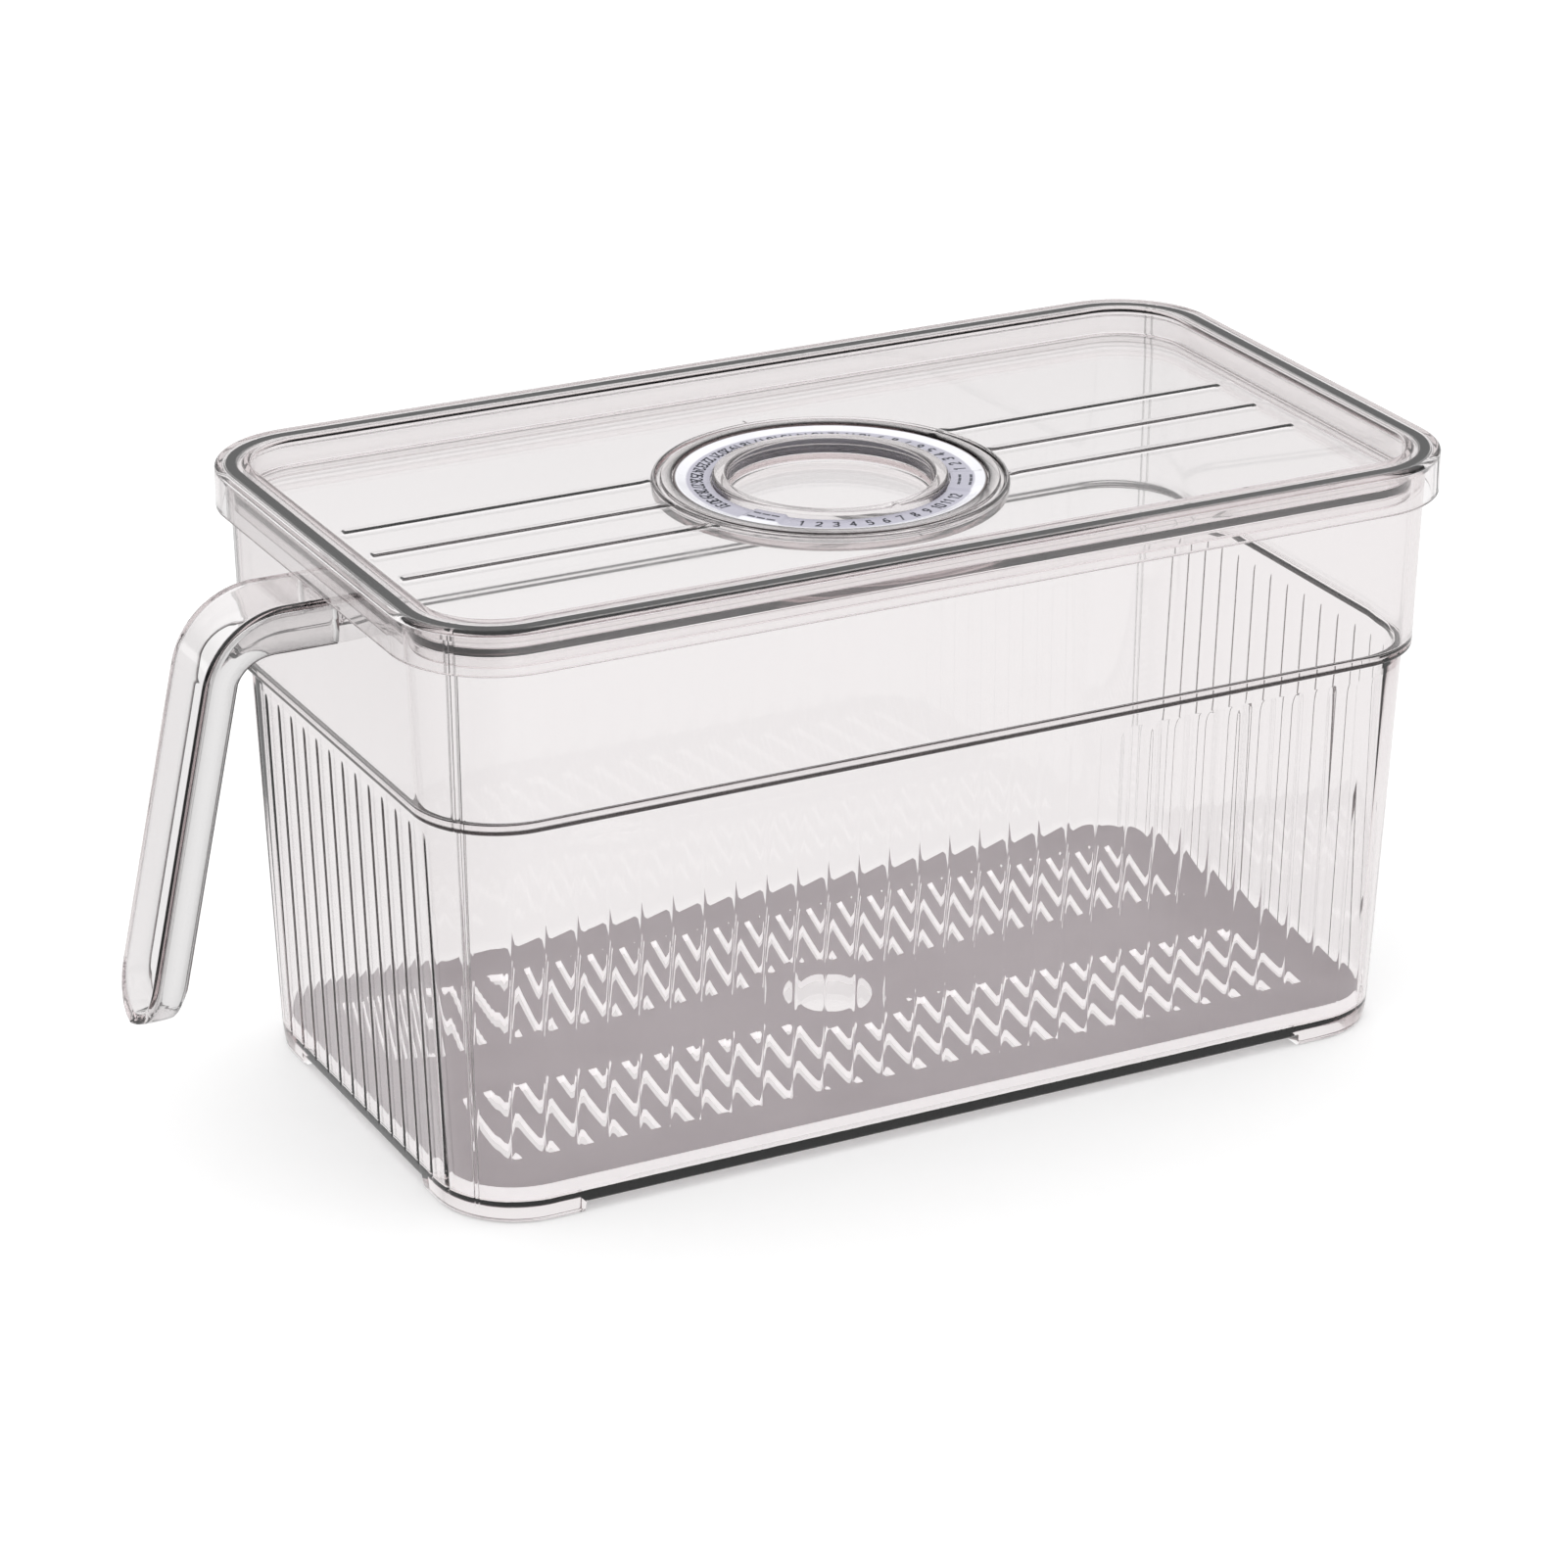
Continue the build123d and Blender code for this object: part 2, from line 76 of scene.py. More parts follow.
def close_grid(name, points, material, first_pole=None, last_pole=None, wrap=False, strips=False):
    """Skin over a grid of points: rows[i, j], where j runs round a closed loop.

    Each cell becomes one quad with its corners (i, j), (i+1, j), (i+1, j+1), (i, j+1). A pole
    closes the first or last row with a fan to one point, wrap joins the last row to the first, and
    strips close both rows by pairing point j with its mirror image in the loop."""
    rows, columns = points.shape[:2]
    index = np.arange(rows * columns).reshape(rows, columns)
    following = np.roll(index, -1, axis=1)
    if wrap:
        below, below_following = np.roll(index, -1, axis=0), np.roll(following, -1, axis=0)
        corners = [index, below, below_following, following]
    else:
        corners = [index[:-1], index[1:], following[1:], following[:-1]]
    quads = np.stack(corners, axis=-1).reshape(-1, 4)
    if strips:
        near = np.arange(columns // 2 - 1)
        far = columns - 1 - near
        for row, places in (
            (index[0], (near, near + 1, far - 1, far)), (index[-1], (far, far - 1, near + 1, near)),
        ):
            strip = np.stack([row[place] for place in places], axis=-1)
            quads = np.vstack([quads, strip])
    coords = points.reshape(-1, 3)
    fans = []
    if first_pole is not None:
        coords = np.vstack([coords, first_pole])
        apex = np.full(columns, len(coords) - 1)
        fans.append(np.stack([apex, index[0], following[0]], axis=-1))
    if last_pole is not None:
        coords = np.vstack([coords, last_pole])
        apex = np.full(columns, len(coords) - 1)
        fans.append(np.stack([following[-1], index[-1], apex], axis=-1))
    return make_piece(name, coords, quads, fans, material)


def make_piece(name, coords, quads, fans, material):
    """Object from points in millimetres about the lid's middle, its quads and its triangles."""
    corners = [quads.reshape(-1)] + [fan.reshape(-1) for fan in fans]
    sizes = [np.full(len(quads), 4)] + [np.full(len(fan), 3) for fan in fans]
    loops = np.concatenate(corners).astype(np.int32)
    lengths = np.concatenate(sizes).astype(np.int32)
    starts = np.concatenate([[0], np.cumsum(lengths)[:-1]]).astype(np.int32)
    coords = (coords + np.array([CENTRE_X, 0.0, 0.0])) * MM
    mesh = bpy.data.meshes.new(name)
    mesh.vertices.add(len(coords))
    mesh.vertices.foreach_set("co", coords.astype(np.float32).reshape(-1))
    mesh.loops.add(len(loops))
    mesh.loops.foreach_set("vertex_index", loops)
    mesh.polygons.add(len(lengths))
    mesh.polygons.foreach_set("loop_start", starts)
    mesh.polygons.foreach_set("use_smooth", np.ones(len(lengths), bool))
    mesh.update(calc_edges=True)
    mesh.validate()
    mesh.normals_split_custom_set_from_vertices(area_normals(coords, quads, fans))
    piece = bpy.data.objects.new(name, mesh)
    bpy.context.scene.collection.objects.link(piece)
    mesh.materials.append(material)
    return piece


def area_normals(coords, quads, fans):
    """Unit normal of every point: the sum of the cross products of its faces' diagonals.

    A large face weighs more than a small one, so a flat face keeps its own normal right up to a
    narrow rounded edge."""
    total = np.zeros_like(coords)
    first, second, third, fourth = (coords[quads[:, corner]] for corner in range(4))
    across = np.cross(third - first, fourth - second)
    for corner in range(4):
        np.add.at(total, quads[:, corner], across)
    for fan in fans:
        first, second, third = (coords[fan[:, corner]] for corner in range(3))
        across = np.cross(second - first, third - first)
        for corner in range(3):
            np.add.at(total, fan[:, corner], across)
    size = np.linalg.norm(total, axis=1, keepdims=True)
    return total / np.maximum(size, 1e-20)


def paint_shade_lines(piece, strengths):
    """Gives a piece's grid points, row by row, their share of the painted shade: dark lines seen
    from outside.
    """
    value = np.zeros(len(piece.data.vertices), np.float32)
    grid = np.array(strengths, np.float32).reshape(-1)
    value[:len(grid)] = grid
    piece.data.attributes.new("painted_shade_line", "FLOAT", "POINT").data.foreach_set("value", value)


def raise_loop(loop, z):
    """Gives a flat loop its height."""
    return np.column_stack([loop, np.broadcast_to(z, (len(loop),))])


def rounded_corner(start, corner, end, radius, steps=4):
    """Points of a profile's corner rounded by a circular arc between its two straight runs."""
    start, corner, end = (np.array(p, float) for p in (start, corner, end))
    back = (start - corner) / np.linalg.norm(start - corner)
    ahead = (end - corner) / np.linalg.norm(end - corner)
    half = math.acos(float(np.clip(back @ ahead, -1, 1))) / 2
    reach = radius / math.tan(half)
    centre = corner + (back + ahead) / np.linalg.norm(back + ahead) * radius / math.sin(half)
    first = corner + back * reach - centre
    last = corner + ahead * reach - centre
    sweep = math.pi - 2 * half
    turn = np.linspace(0, 1, steps + 1)[:, None]
    arc = np.sin((1 - turn) * sweep) * first + np.sin(turn * sweep) * last
    return centre + arc / math.sin(sweep)


def rounded_profile(corners, closed=False):
    """Profile through (distance, z, radius) corners, each rounded to its radius."""
    points = []
    count = len(corners)
    for index, (inset, z, radius) in enumerate(corners):
        if radius and (closed or 0 < index < count - 1):
            before, after = corners[index - 1][:2], corners[(index + 1) % count][:2]
            points.extend(rounded_corner(before, (inset, z), after, radius))
        else:
            points.append(np.array([inset, z], float))
    return np.array(points)


# Materials

def haze_group():
    """Roughness that varies a little with a cloudy noise, as moulded plastic has it."""
    group = bpy.data.node_groups.new("moulding_haze", "ShaderNodeTree")
    for name in ("Low", "High"):
        group.interface.new_socket(name, in_out="INPUT", socket_type="NodeSocketFloat")
    group.interface.new_socket("Roughness", in_out="OUTPUT", socket_type="NodeSocketFloat")
    nodes, links = group.nodes, group.links
    given, result = nodes.new("NodeGroupInput"), nodes.new("NodeGroupOutput")
    place = nodes.new("ShaderNodeTexCoord")
    noise = nodes.new("ShaderNodeTexNoise")
    noise.inputs["Scale"].default_value = 60.0
    noise.inputs["Detail"].default_value = 3.0
    spread = nodes.new("ShaderNodeMapRange")
    spread.inputs["From Min"].default_value = 0.35
    spread.inputs["From Max"].default_value = 0.75
    links.new(place.outputs["Object"], noise.inputs["Vector"])
    links.new(noise.outputs["Fac"], spread.inputs["Value"])
    links.new(given.outputs["Low"], spread.inputs["To Min"])
    links.new(given.outputs["High"], spread.inputs["To Max"])
    links.new(spread.outputs["Result"], result.inputs["Roughness"])
    return group


HAZE = haze_group()
PLASTIC_IOR = 1.49
# Colour of the painted shade: dark lines drawn into clear plastic where it looks dark from outside
PAINTED_SHADE_COLOUR = (0.003, 0.002, 0.002, 1)


def new_material(name, low, high):
    """Material whose Principled shader takes its roughness from the moulding haze."""
    material = bpy.data.materials.new(name)
    material.use_nodes = True
    nodes, links = material.node_tree.nodes, material.node_tree.links
    haze = nodes.new("ShaderNodeGroup")
    haze.node_tree = HAZE
    haze.inputs["Low"].default_value = low
    haze.inputs["High"].default_value = high
    links.new(haze.outputs["Roughness"], nodes["Principled BSDF"].inputs["Roughness"])
    return material, nodes, links


def clear_plastic(name, tint, density, low=0.0, high=0.03):
    """Clear plastic: refracting, tinted with depth, with painted shade that darkens it from outside
    where a shade line is marked.
    """
    material, nodes, links = new_material(name, low, high)
    shader = nodes["Principled BSDF"]
    shader.inputs["Transmission Weight"].default_value = 1.0
    shader.inputs["IOR"].default_value = PLASTIC_IOR
    line = nodes.new("ShaderNodeAttribute")
    line.attribute_name = "painted_shade_line"
    side = nodes.new("ShaderNodeNewGeometry")
    seen = nodes.new("ShaderNodeMath")
    seen.operation = "SUBTRACT"
    seen.use_clamp = True
    # Painted shade: front faces turn dark where the painted shade line is
    shade = nodes.new("ShaderNodeMix")
    shade.data_type = "RGBA"
    shade.inputs["A"].default_value = (1, 1, 1, 1)
    shade.inputs["B"].default_value = PAINTED_SHADE_COLOUR
    links.new(line.outputs["Fac"], seen.inputs[0])
    links.new(side.outputs["Backfacing"], seen.inputs[1])
    links.new(seen.outputs[0], shade.inputs["Factor"])
    links.new(shade.outputs["Result"], shader.inputs["Base Color"])
    depth = nodes.new("ShaderNodeVolumeAbsorption")
    depth.inputs["Color"].default_value = (*tint, 1.0)
    depth.inputs["Density"].default_value = density
    links.new(depth.outputs["Volume"], nodes["Material Output"].inputs["Volume"])
    return material


def mottled(name, dark, light, low, high, bump_height, edge=None):
    """Plastic or ink whose colour and surface vary with a fine noise.

    With an edge colour, upright faces get painted light: they are paler and glow a little, standing
    for the light that a thin translucent edge lets through."""
    material, nodes, links = new_material(name, low, high)
    shader = nodes["Principled BSDF"]
    place = nodes.new("ShaderNodeTexCoord")
    noise = nodes.new("ShaderNodeTexNoise")
    noise.inputs["Scale"].default_value = 90.0
    noise.inputs["Detail"].default_value = 4.0
    links.new(place.outputs["Object"], noise.inputs["Vector"])
    colours = nodes.new("ShaderNodeValToRGB")
    colours.color_ramp.elements[0].color = (*dark, 1)
    colours.color_ramp.elements[1].color = (*light, 1)
    links.new(noise.outputs["Fac"], colours.inputs["Fac"])
    if edge:
        surface = nodes.new("ShaderNodeNewGeometry")
        parts = nodes.new("ShaderNodeSeparateXYZ")
        slope = nodes.new("ShaderNodeMath")
        slope.operation = "ABSOLUTE"
        upright = nodes.new("ShaderNodeMapRange")
        upright.inputs["From Min"].default_value = 0.6
        upright.inputs["From Max"].default_value = 0.3
        painted_edge_light = nodes.new("ShaderNodeMix")
        painted_edge_light.data_type = "RGBA"
        painted_edge_light.inputs["B"].default_value = (*edge, 1)
        links.new(surface.outputs["True Normal"], parts.inputs["Vector"])
        links.new(parts.outputs["Z"], slope.inputs[0])
        links.new(slope.outputs[0], upright.inputs["Value"])
        links.new(upright.outputs["Result"], painted_edge_light.inputs["Factor"])
        links.new(colours.outputs["Color"], painted_edge_light.inputs["A"])
        links.new(painted_edge_light.outputs["Result"], shader.inputs["Base Color"])
        # Painted light: upright faces glow
        links.new(upright.outputs["Result"], shader.inputs["Emission Color"])
        shader.inputs["Emission Strength"].default_value = 0.4
    else:
        links.new(colours.outputs["Color"], shader.inputs["Base Color"])
    bump = nodes.new("ShaderNodeBump")
    bump.inputs["Strength"].default_value = 0.15
    bump.inputs["Distance"].default_value = bump_height
    links.new(noise.outputs["Fac"], bump.inputs["Height"])
    links.new(bump.outputs["Normal"], shader.inputs["Normal"])
    return material


def disc_plastic():
    """Satin plastic of the number disc, by radius: lilac grey strip, pale slope as a painted
    highlight, dark edge as painted shade.
    """
    strip, pale, dark = (0.46, 0.45, 0.53, 1), (0.86, 0.86, 0.90, 1), (0.10, 0.075, 0.075, 1)
    material, nodes, links = new_material("printed_disc_plastic", 0.2, 0.35)
    place = nodes.new("ShaderNodeTexCoord")
    centre = nodes.new("ShaderNodeMapping")
    centre.inputs["Location"].default_value = (-CENTRE_X * MM, 0, 0)
    flat = nodes.new("ShaderNodeVectorMath")
    flat.operation = "MULTIPLY"
    flat.inputs[1].default_value = (1, 1, 0)
    radius = nodes.new("ShaderNodeVectorMath")
    radius.operation = "LENGTH"
    share = nodes.new("ShaderNodeMapRange")
    share.inputs["From Min"].default_value = 0.030
    share.inputs["From Max"].default_value = 0.042
    bands = nodes.new("ShaderNodeValToRGB")
    ramp = bands.color_ramp
    for element, (position, colour) in zip(ramp.elements, ((0.66, strip), (0.70, pale))):
        element.position, element.color = position, colour
    # The pale band is a painted highlight on the slope, the dark band painted shade at the disc's
    # edge
    for position, colour in ((0.90, pale), (0.93, dark)):
        ramp.elements.new(position).color = colour
    noise = nodes.new("ShaderNodeTexNoise")
    noise.inputs["Scale"].default_value = 120.0
    clouds = nodes.new("ShaderNodeMapRange")
    clouds.inputs["To Min"].default_value = 0.9
    clouds.inputs["To Max"].default_value = 1.06
    shade = nodes.new("ShaderNodeVectorMath")
    shade.operation = "SCALE"
    links.new(place.outputs["Object"], centre.inputs["Vector"])
    links.new(centre.outputs["Vector"], flat.inputs[0])
    links.new(flat.outputs["Vector"], radius.inputs[0])
    links.new(radius.outputs["Value"], share.inputs["Value"])
    links.new(share.outputs["Result"], bands.inputs["Fac"])
    links.new(place.outputs["Object"], noise.inputs["Vector"])
    links.new(noise.outputs["Fac"], clouds.inputs["Value"])
    links.new(bands.outputs["Color"], shade.inputs[0])
    links.new(clouds.outputs["Result"], shade.inputs["Scale"])
    links.new(shade.outputs["Vector"], nodes["Principled BSDF"].inputs["Base Color"])
    return material


TINT = (0.66, 0.56, 0.565)
CLEAR = clear_plastic("clear_plastic", TINT, 70.0)
CLEAR_LID = clear_plastic("clear_lid_plastic", TINT, 55.0)
CLEAR_HANDLE = clear_plastic("clear_handle_plastic", TINT, 60.0)
CLEAR_RING = clear_plastic("clear_ring_plastic", TINT, 35.0)
FROSTED = disc_plastic()
# The tray's upright faces get painted light through the edge colour
GREY = mottled(
    "grey_tray_plastic", (0.60, 0.54, 0.57), (0.67, 0.605, 0.635), 0.32, 0.45, 0.0003,
    edge=(0.95, 0.92, 0.93),
)
INK = mottled("number_ink", (0.02, 0.022, 0.035), (0.045, 0.05, 0.075), 0.4, 0.5, 0.00002)


# Lid

END_STEPS, CORNER_STEPS, SIDE_STEPS = 22, 20, 110
PANEL_EDGE = 12.5
INNERMOST = 8.0
RIB_STOP_X, RIB_STOP_Y, RIB_STOP_CORNER = 131.5, 66.0, 14.0
SEAM_HALF_ANGLE, SEAM_PINCH = 0.012, 0.0012


def rib_lines():
    """Heights y of the columns across the lid's end sector, close together at the ribs' edges."""
    across = RIB_HALF * np.array([0.0, 0.25, 0.45, 0.6, 0.75, 0.88, 1.0])
    edges = (RIB_MIDDLES[:, None] + np.concatenate([-across[:0:-1], across])).reshape(-1)
    between = np.array([2.6, 4.5, 7.5, 10.5, 13.5, 16.2, 21.6, 23.0, 24.4])
    return np.sort(np.concatenate([edges, between, -between]))


END_LINES = rib_lines()


def rounded_loop(half_x, half_y, radius):
    """Rounded rectangle as one closed loop, counter-clockwise from the +X end's first column.

    The middle of each end has columns at fixed y; the rest of the end, the corner arcs and the
    long sides are divided evenly, with two more columns beside each corner's mould seam."""
    flat_x, flat_y = half_x - radius, half_y - radius
    end = np.stack([np.full(len(END_LINES), half_x), END_LINES], axis=-1)
    rise = np.linspace(END_LINES[-1], flat_y, END_STEPS + 1)[1:-1]
    rest = np.stack([np.full(len(rise), half_x), rise], axis=-1)
    turn = np.linspace(0, math.pi / 2, CORNER_STEPS + 1)
    beside_seam = math.pi / 4 + np.array([-SEAM_HALF_ANGLE, SEAM_HALF_ANGLE])
    turn = np.sort(np.concatenate([turn, beside_seam]))
    corner = np.stack([flat_x + radius * np.cos(turn), flat_y + radius * np.sin(turn)], axis=-1)
    side = np.linspace(flat_x, 0, SIDE_STEPS + 1)[1:]
    side = np.stack([side, np.full(len(side), half_y)], axis=-1)
    quarter = np.vstack([rest, corner, side])
    upper = np.vstack([quarter, (quarter * [-1, 1])[::-1][1:]])
    return np.vstack([end, upper, -end, -upper])


def lid_pattern():
    """Directions of the dial's columns: the end sectors keep the ribs' y, the rest is spread."""
    outer = rounded_loop(LID_HALF_X - RIM_WIDTH, LID_HALF_Y - RIM_WIDTH, LID_CORNER - RIM_WIDTH)
    count, half = len(END_LINES), len(outer) // 2
    end = np.arcsin(END_LINES / (WELL_RADIUS + LIP_WALL))
    steps = np.linalg.norm(np.diff(outer[count - 1:half + 1], axis=0), axis=1)
    share = np.cumsum(steps) / steps.sum()
    spread = end[-1] + share[:-1] * (math.pi - 2 * end[-1])
    angle = np.concatenate([end, spread])
    angle = np.concatenate([angle, angle + math.pi])
    return np.stack([np.cos(angle), np.sin(angle)], axis=-1)


def rib_height(pattern):
    """Height of the ribs on every column: a crown 1 - u^4, with u from its middle to its edge."""
    y = pattern[:, 1] * (WELL_RADIUS + LIP_WALL)
    away = np.min(np.abs(y[:, None] - RIB_MIDDLES), axis=1)
    height = RIB_HEIGHT * np.maximum(0.0, 1 - (away / RIB_HALF) ** 4)
    return np.where(np.abs(pattern[:, 0]) > 0.5, height, 0.0)


def make_lid():
    """Lid as one closed skin, from the recess floor's middle over the rim and back underneath."""
    pattern = lid_pattern()
    lip = WELL_RADIUS + LIP_WALL
    hub = RECESS_RADIUS + WELL_WALL
    ledge_under, floor_under = LEDGE_TOP - LID_WALL, RECESS_FLOOR - LID_WALL
    inner = lip * pattern
    stop = rounded_loop(RIB_STOP_X, RIB_STOP_Y, RIB_STOP_CORNER)
    seam = len(END_LINES) + END_STEPS + CORNER_STEPS // 2
    seams = np.array([seam, seam + len(pattern) // 2])
    rows = []

    def circles(profile):
        rows.extend(raise_loop(radius * pattern, z) for radius, z in profile)

    def outlines(profile):
        for inset, z in profile:
            loop = rounded_loop(LID_HALF_X - inset, LID_HALF_Y - inset, LID_CORNER - inset)
            # Only the skirt's outer face has the mould seams
            if inset < 0.2:
                loop[seams] *= 1 - SEAM_PINCH
            rows.append(raise_loop(loop, z))

    circles(rounded_profile([
        (INNERMOST, RECESS_FLOOR, 0), (RECESS_RADIUS, RECESS_FLOOR, 0.5),
        (RECESS_RADIUS, LEDGE_TOP, 0.3), (WELL_RADIUS, LEDGE_TOP, 0.3),
        (WELL_RADIUS, LIP_TOP, 0.35), (lip, LIP_TOP, 0.35), (lip, PANEL_TOP, 0.25),
        (lip + 1.0, PANEL_TOP, 0),
    ]))
    # Panel top, with the ribs raised along the end sectors' columns from the lip to their stop
    ribs = rib_height(pattern)
    rows[-1][:, 2] += ribs
    shares = (0.04, 0.2, 0.4, 0.6, 0.8, 0.96, 0.99, 0.995, 1.0)
    heights = (1.0, 1.0, 1.0, 1.0, 1.0, 1.0, 1.0, 0.8, 0.0)
    for share, height in zip(shares, heights):
        rows.append(raise_loop(inner + (stop - inner) * share, PANEL_TOP + ribs * height))
    outlines(rounded_profile([
        (PANEL_EDGE, PANEL_TOP, 0), (RIM_WIDTH, PANEL_TOP, 0.8), (RIM_WIDTH, LID_TOP, 0.9),
        (0.0, LID_TOP, 1.4), (0.0, SKIRT_BOTTOM, 0.5), (LID_WALL, SKIRT_BOTTOM, 0.4),
        (LID_WALL, BIN_TOP, 0.4), (RIM_WIDTH - LID_WALL, BIN_TOP, 0.4),
        (RIM_WIDTH - LID_WALL, SKIRT_BOTTOM, 0.5), (RIM_WIDTH, SKIRT_BOTTOM, 0.5),
        (RIM_WIDTH, PANEL_UNDER, 0.8), (PANEL_EDGE, PANEL_UNDER, 0),
    ]))
    for share in (0.7, 0.4, 0.1):
        rows.append(raise_loop(inner + (stop - inner) * share, PANEL_UNDER))
    circles(rounded_profile([
        (lip + 1.0, PANEL_UNDER, 0), (lip, PANEL_UNDER, 0.3), (lip, ledge_under, 0.4),
        (hub, ledge_under, 0.3), (hub, floor_under, 0.4), (INNERMOST, floor_under, 0),
    ]))
    return close_grid(
        "lid_shell", np.array(rows), CLEAR_LID,
        first_pole=[[0.0, 0.0, RECESS_FLOOR]], last_pole=[[0.0, 0.0, floor_under]],
    )


# Bin

LONG_SPAN, LONG_COUNT, LONG_FOOT = 255.2, 29, 107.4
END_SPAN, END_COUNT, END_FOOT = 112.0, 13, 40.4
GROOVE_PLACES = np.array([0.0, 0.15, 0.4, 0.9, 1.8, 3.0])
GROOVE_REACH, GROOVE_DEPTH, HOLLOW_DEPTH = 0.9, 0.15, 0.12
# The end grooves' and the seams' shade values are strengths of painted shade drawn along them
END_GROOVE_STRENGTH, END_GROOVE_PAINTED_SHADE = 2.5, 0.85
CORNER_COLUMNS, CORNER_LENGTH = 12, 36.6
SEAM_PLACES, SEAM_REACH = np.array([-1.7, 1.7]), 0.7
SEAM_DEPTH, SEAM_PAINTED_SHADE = 0.3, 0.6
FLUTE_HEAD_RUN, FLUTE_FOOT_RUN = 2.8, 1.8
BEAD_INSET, BEAD_HEIGHT = 2.6, 1.8

# An outer face's inset at its foot, its height and how much of the inset its draft takes away
WALL_FOOT, WALL_RISE, WALL_DRAFT = 10.6, 107.8, 3.7
BAND_FOOT, BAND_RISE, BAND_DRAFT = 5.0, 54.0, 1.2

# Corner radii in plan
INNER_CORNER, INNER_BAND_CORNER = 20.6, 21.6
BEAD_CORNER, BAND_CORNER, SHOULDER_CORNER = 25.0, 24.0, 23.5
FLUTED_CORNER, FOOT_CORNER = 23.0, 17.5


def flute_columns(span, count, foot_end, strength):
    """Arc-length places of a side's columns, its flutes' depth, painted shade lines and feet.

    From a groove's middle, the depth is the groove's (1 - away / reach)^1.6 plus the flute's own
    shallow hollow, a parabola that is deepest half way to the next groove."""
    grooves = -span / 2 + span / count * np.arange(count + 1)
    near = np.concatenate([-GROOVE_PLACES[:0:-1], GROOVE_PLACES])
    middles = (grooves[:-1] + grooves[1:]) / 2
    foot_edges = np.array([-foot_end - 0.1, -foot_end + 0.1, foot_end - 0.1, foot_end + 0.1])
    places = np.concatenate([(grooves[:, None] + near).reshape(-1), middles, foot_edges])
    places = np.unique(places.round(5))
    away = np.min(np.abs(places[:, None] - grooves), axis=1)
    half = span / count / 2
    sunk = GROOVE_DEPTH * strength * np.maximum(1 - away / GROOVE_REACH, 0) ** 1.6
    hollow = np.maximum(1 - (1 - away / half) ** 2, 0) * (np.abs(places) < span / 2)
    sunk += HOLLOW_DEPTH * hollow
    # Painted shade: dark lines along the end walls' grooves
    line = np.interp(away, [0.3, GROOVE_REACH], [END_GROOVE_PAINTED_SHADE, 0.0]) * (strength > 1)
    return places, sunk, line, (np.abs(places) > foot_end).astype(float)


def corner_columns(seam):
    """Places across a smooth corner; a corner with a mould seam has two narrow grooves."""
    places = CORNER_LENGTH * np.linspace(0, 1, CORNER_COLUMNS + 2)[1:-1]
    if not seam:
        return places, np.zeros(len(places))
    lines = CORNER_LENGTH / 2 + SEAM_PLACES
    near = np.array([-SEAM_REACH, -0.3, 0.0, 0.3, SEAM_REACH])
    places = places[np.min(np.abs(places[:, None] - lines), axis=1) > SEAM_REACH + 0.2]
    places = np.sort(np.concatenate([places, (lines[:, None] + near).reshape(-1)]))
    away = np.min(np.abs(places[:, None] - lines), axis=1)
    return places, np.interp(away, [0.0, 0.3, SEAM_REACH], [1.0, 0.7, 0.0])


def turned(points, quarter_turns):
    """Points turned about the middle by quarter turns."""
    x, y = points[..., 0], points[..., 1]
    for _ in range(quarter_turns):
        x, y = -y, x
    return np.stack([x, y], axis=-1)


def bin_loop(inset, radius):
    """Loop of the bin's columns: points, outward normals, flute depth, seam, painted shade line and
    foot.

    Each side's columns and the corner after it are laid out by arc length, then the part beyond
    the flat side is bent round the corner's circle."""
    half_x, half_y = LID_HALF_X - inset, LID_HALF_Y - inset
    sides = [
        flute_columns(LONG_SPAN, LONG_COUNT, LONG_FOOT, 1.0),
        flute_columns(END_SPAN, END_COUNT, END_FOOT, END_GROOVE_STRENGTH),
    ]
    length = (half_x - radius) + (half_y - radius) + radius * math.pi / 2
    parts = []
    for turn in range(4):
        places, groove, line, foot = sides[turn % 2]
        along, out = (half_x, half_y) if turn % 2 == 0 else (half_y, half_x)
        gap = length - places[-1] - abs(sides[(turn + 1) % 2][0][0])
        extra, seam = corner_columns(turn in (1, 3))
        every = np.concatenate([places, places[-1] + extra * gap / CORNER_LENGTH])
        flat = along - radius
        over = np.minimum(np.abs(every), flat + radius * math.pi / 2)
        bend = np.maximum(over - flat, 0.0) / radius
        sign = np.where(every < 0, -1.0, 1.0)
        x = (np.minimum(over, flat) + radius * np.sin(bend)) * sign
        y = out - radius * (1 - np.cos(bend)) - (np.abs(every) - over)
        smooth = np.zeros(len(extra))
        parts.append((
            turned(np.stack([x, -y], axis=-1), turn),
            turned(np.stack([np.sin(bend) * sign, -np.cos(bend)], axis=-1), turn),
            np.concatenate([groove, smooth]),
            np.concatenate([np.zeros(len(places)), seam]),
            np.concatenate([line, smooth]),
            np.concatenate([foot, smooth + 1.0]),
        ))
    return [np.concatenate(part) for part in zip(*parts)]


def wall_inset(z):
    """Inset of the lower wall's outer face."""
    return WALL_FOOT - (z - BASE) / WALL_RISE * WALL_DRAFT


def band_inset(z):
    """Inset of the upper band's outer face."""
    return BAND_FOOT - (z - SHOULDER) / BAND_RISE * BAND_DRAFT


def bin_corner(inset, z):
    """Corner radius of the loops from the inner ledge over the rim and down to the flutes."""
    if z < LEDGE + 0.2 and inset > LEDGE_INSET - 0.4:
        return INNER_CORNER
    if z <= LEDGE - 0.6:
        return SHOULDER_CORNER
    if inset > 5.6:
        return INNER_BAND_CORNER
    return BEAD_CORNER if inset < band_inset(z) - 0.3 else BAND_CORNER


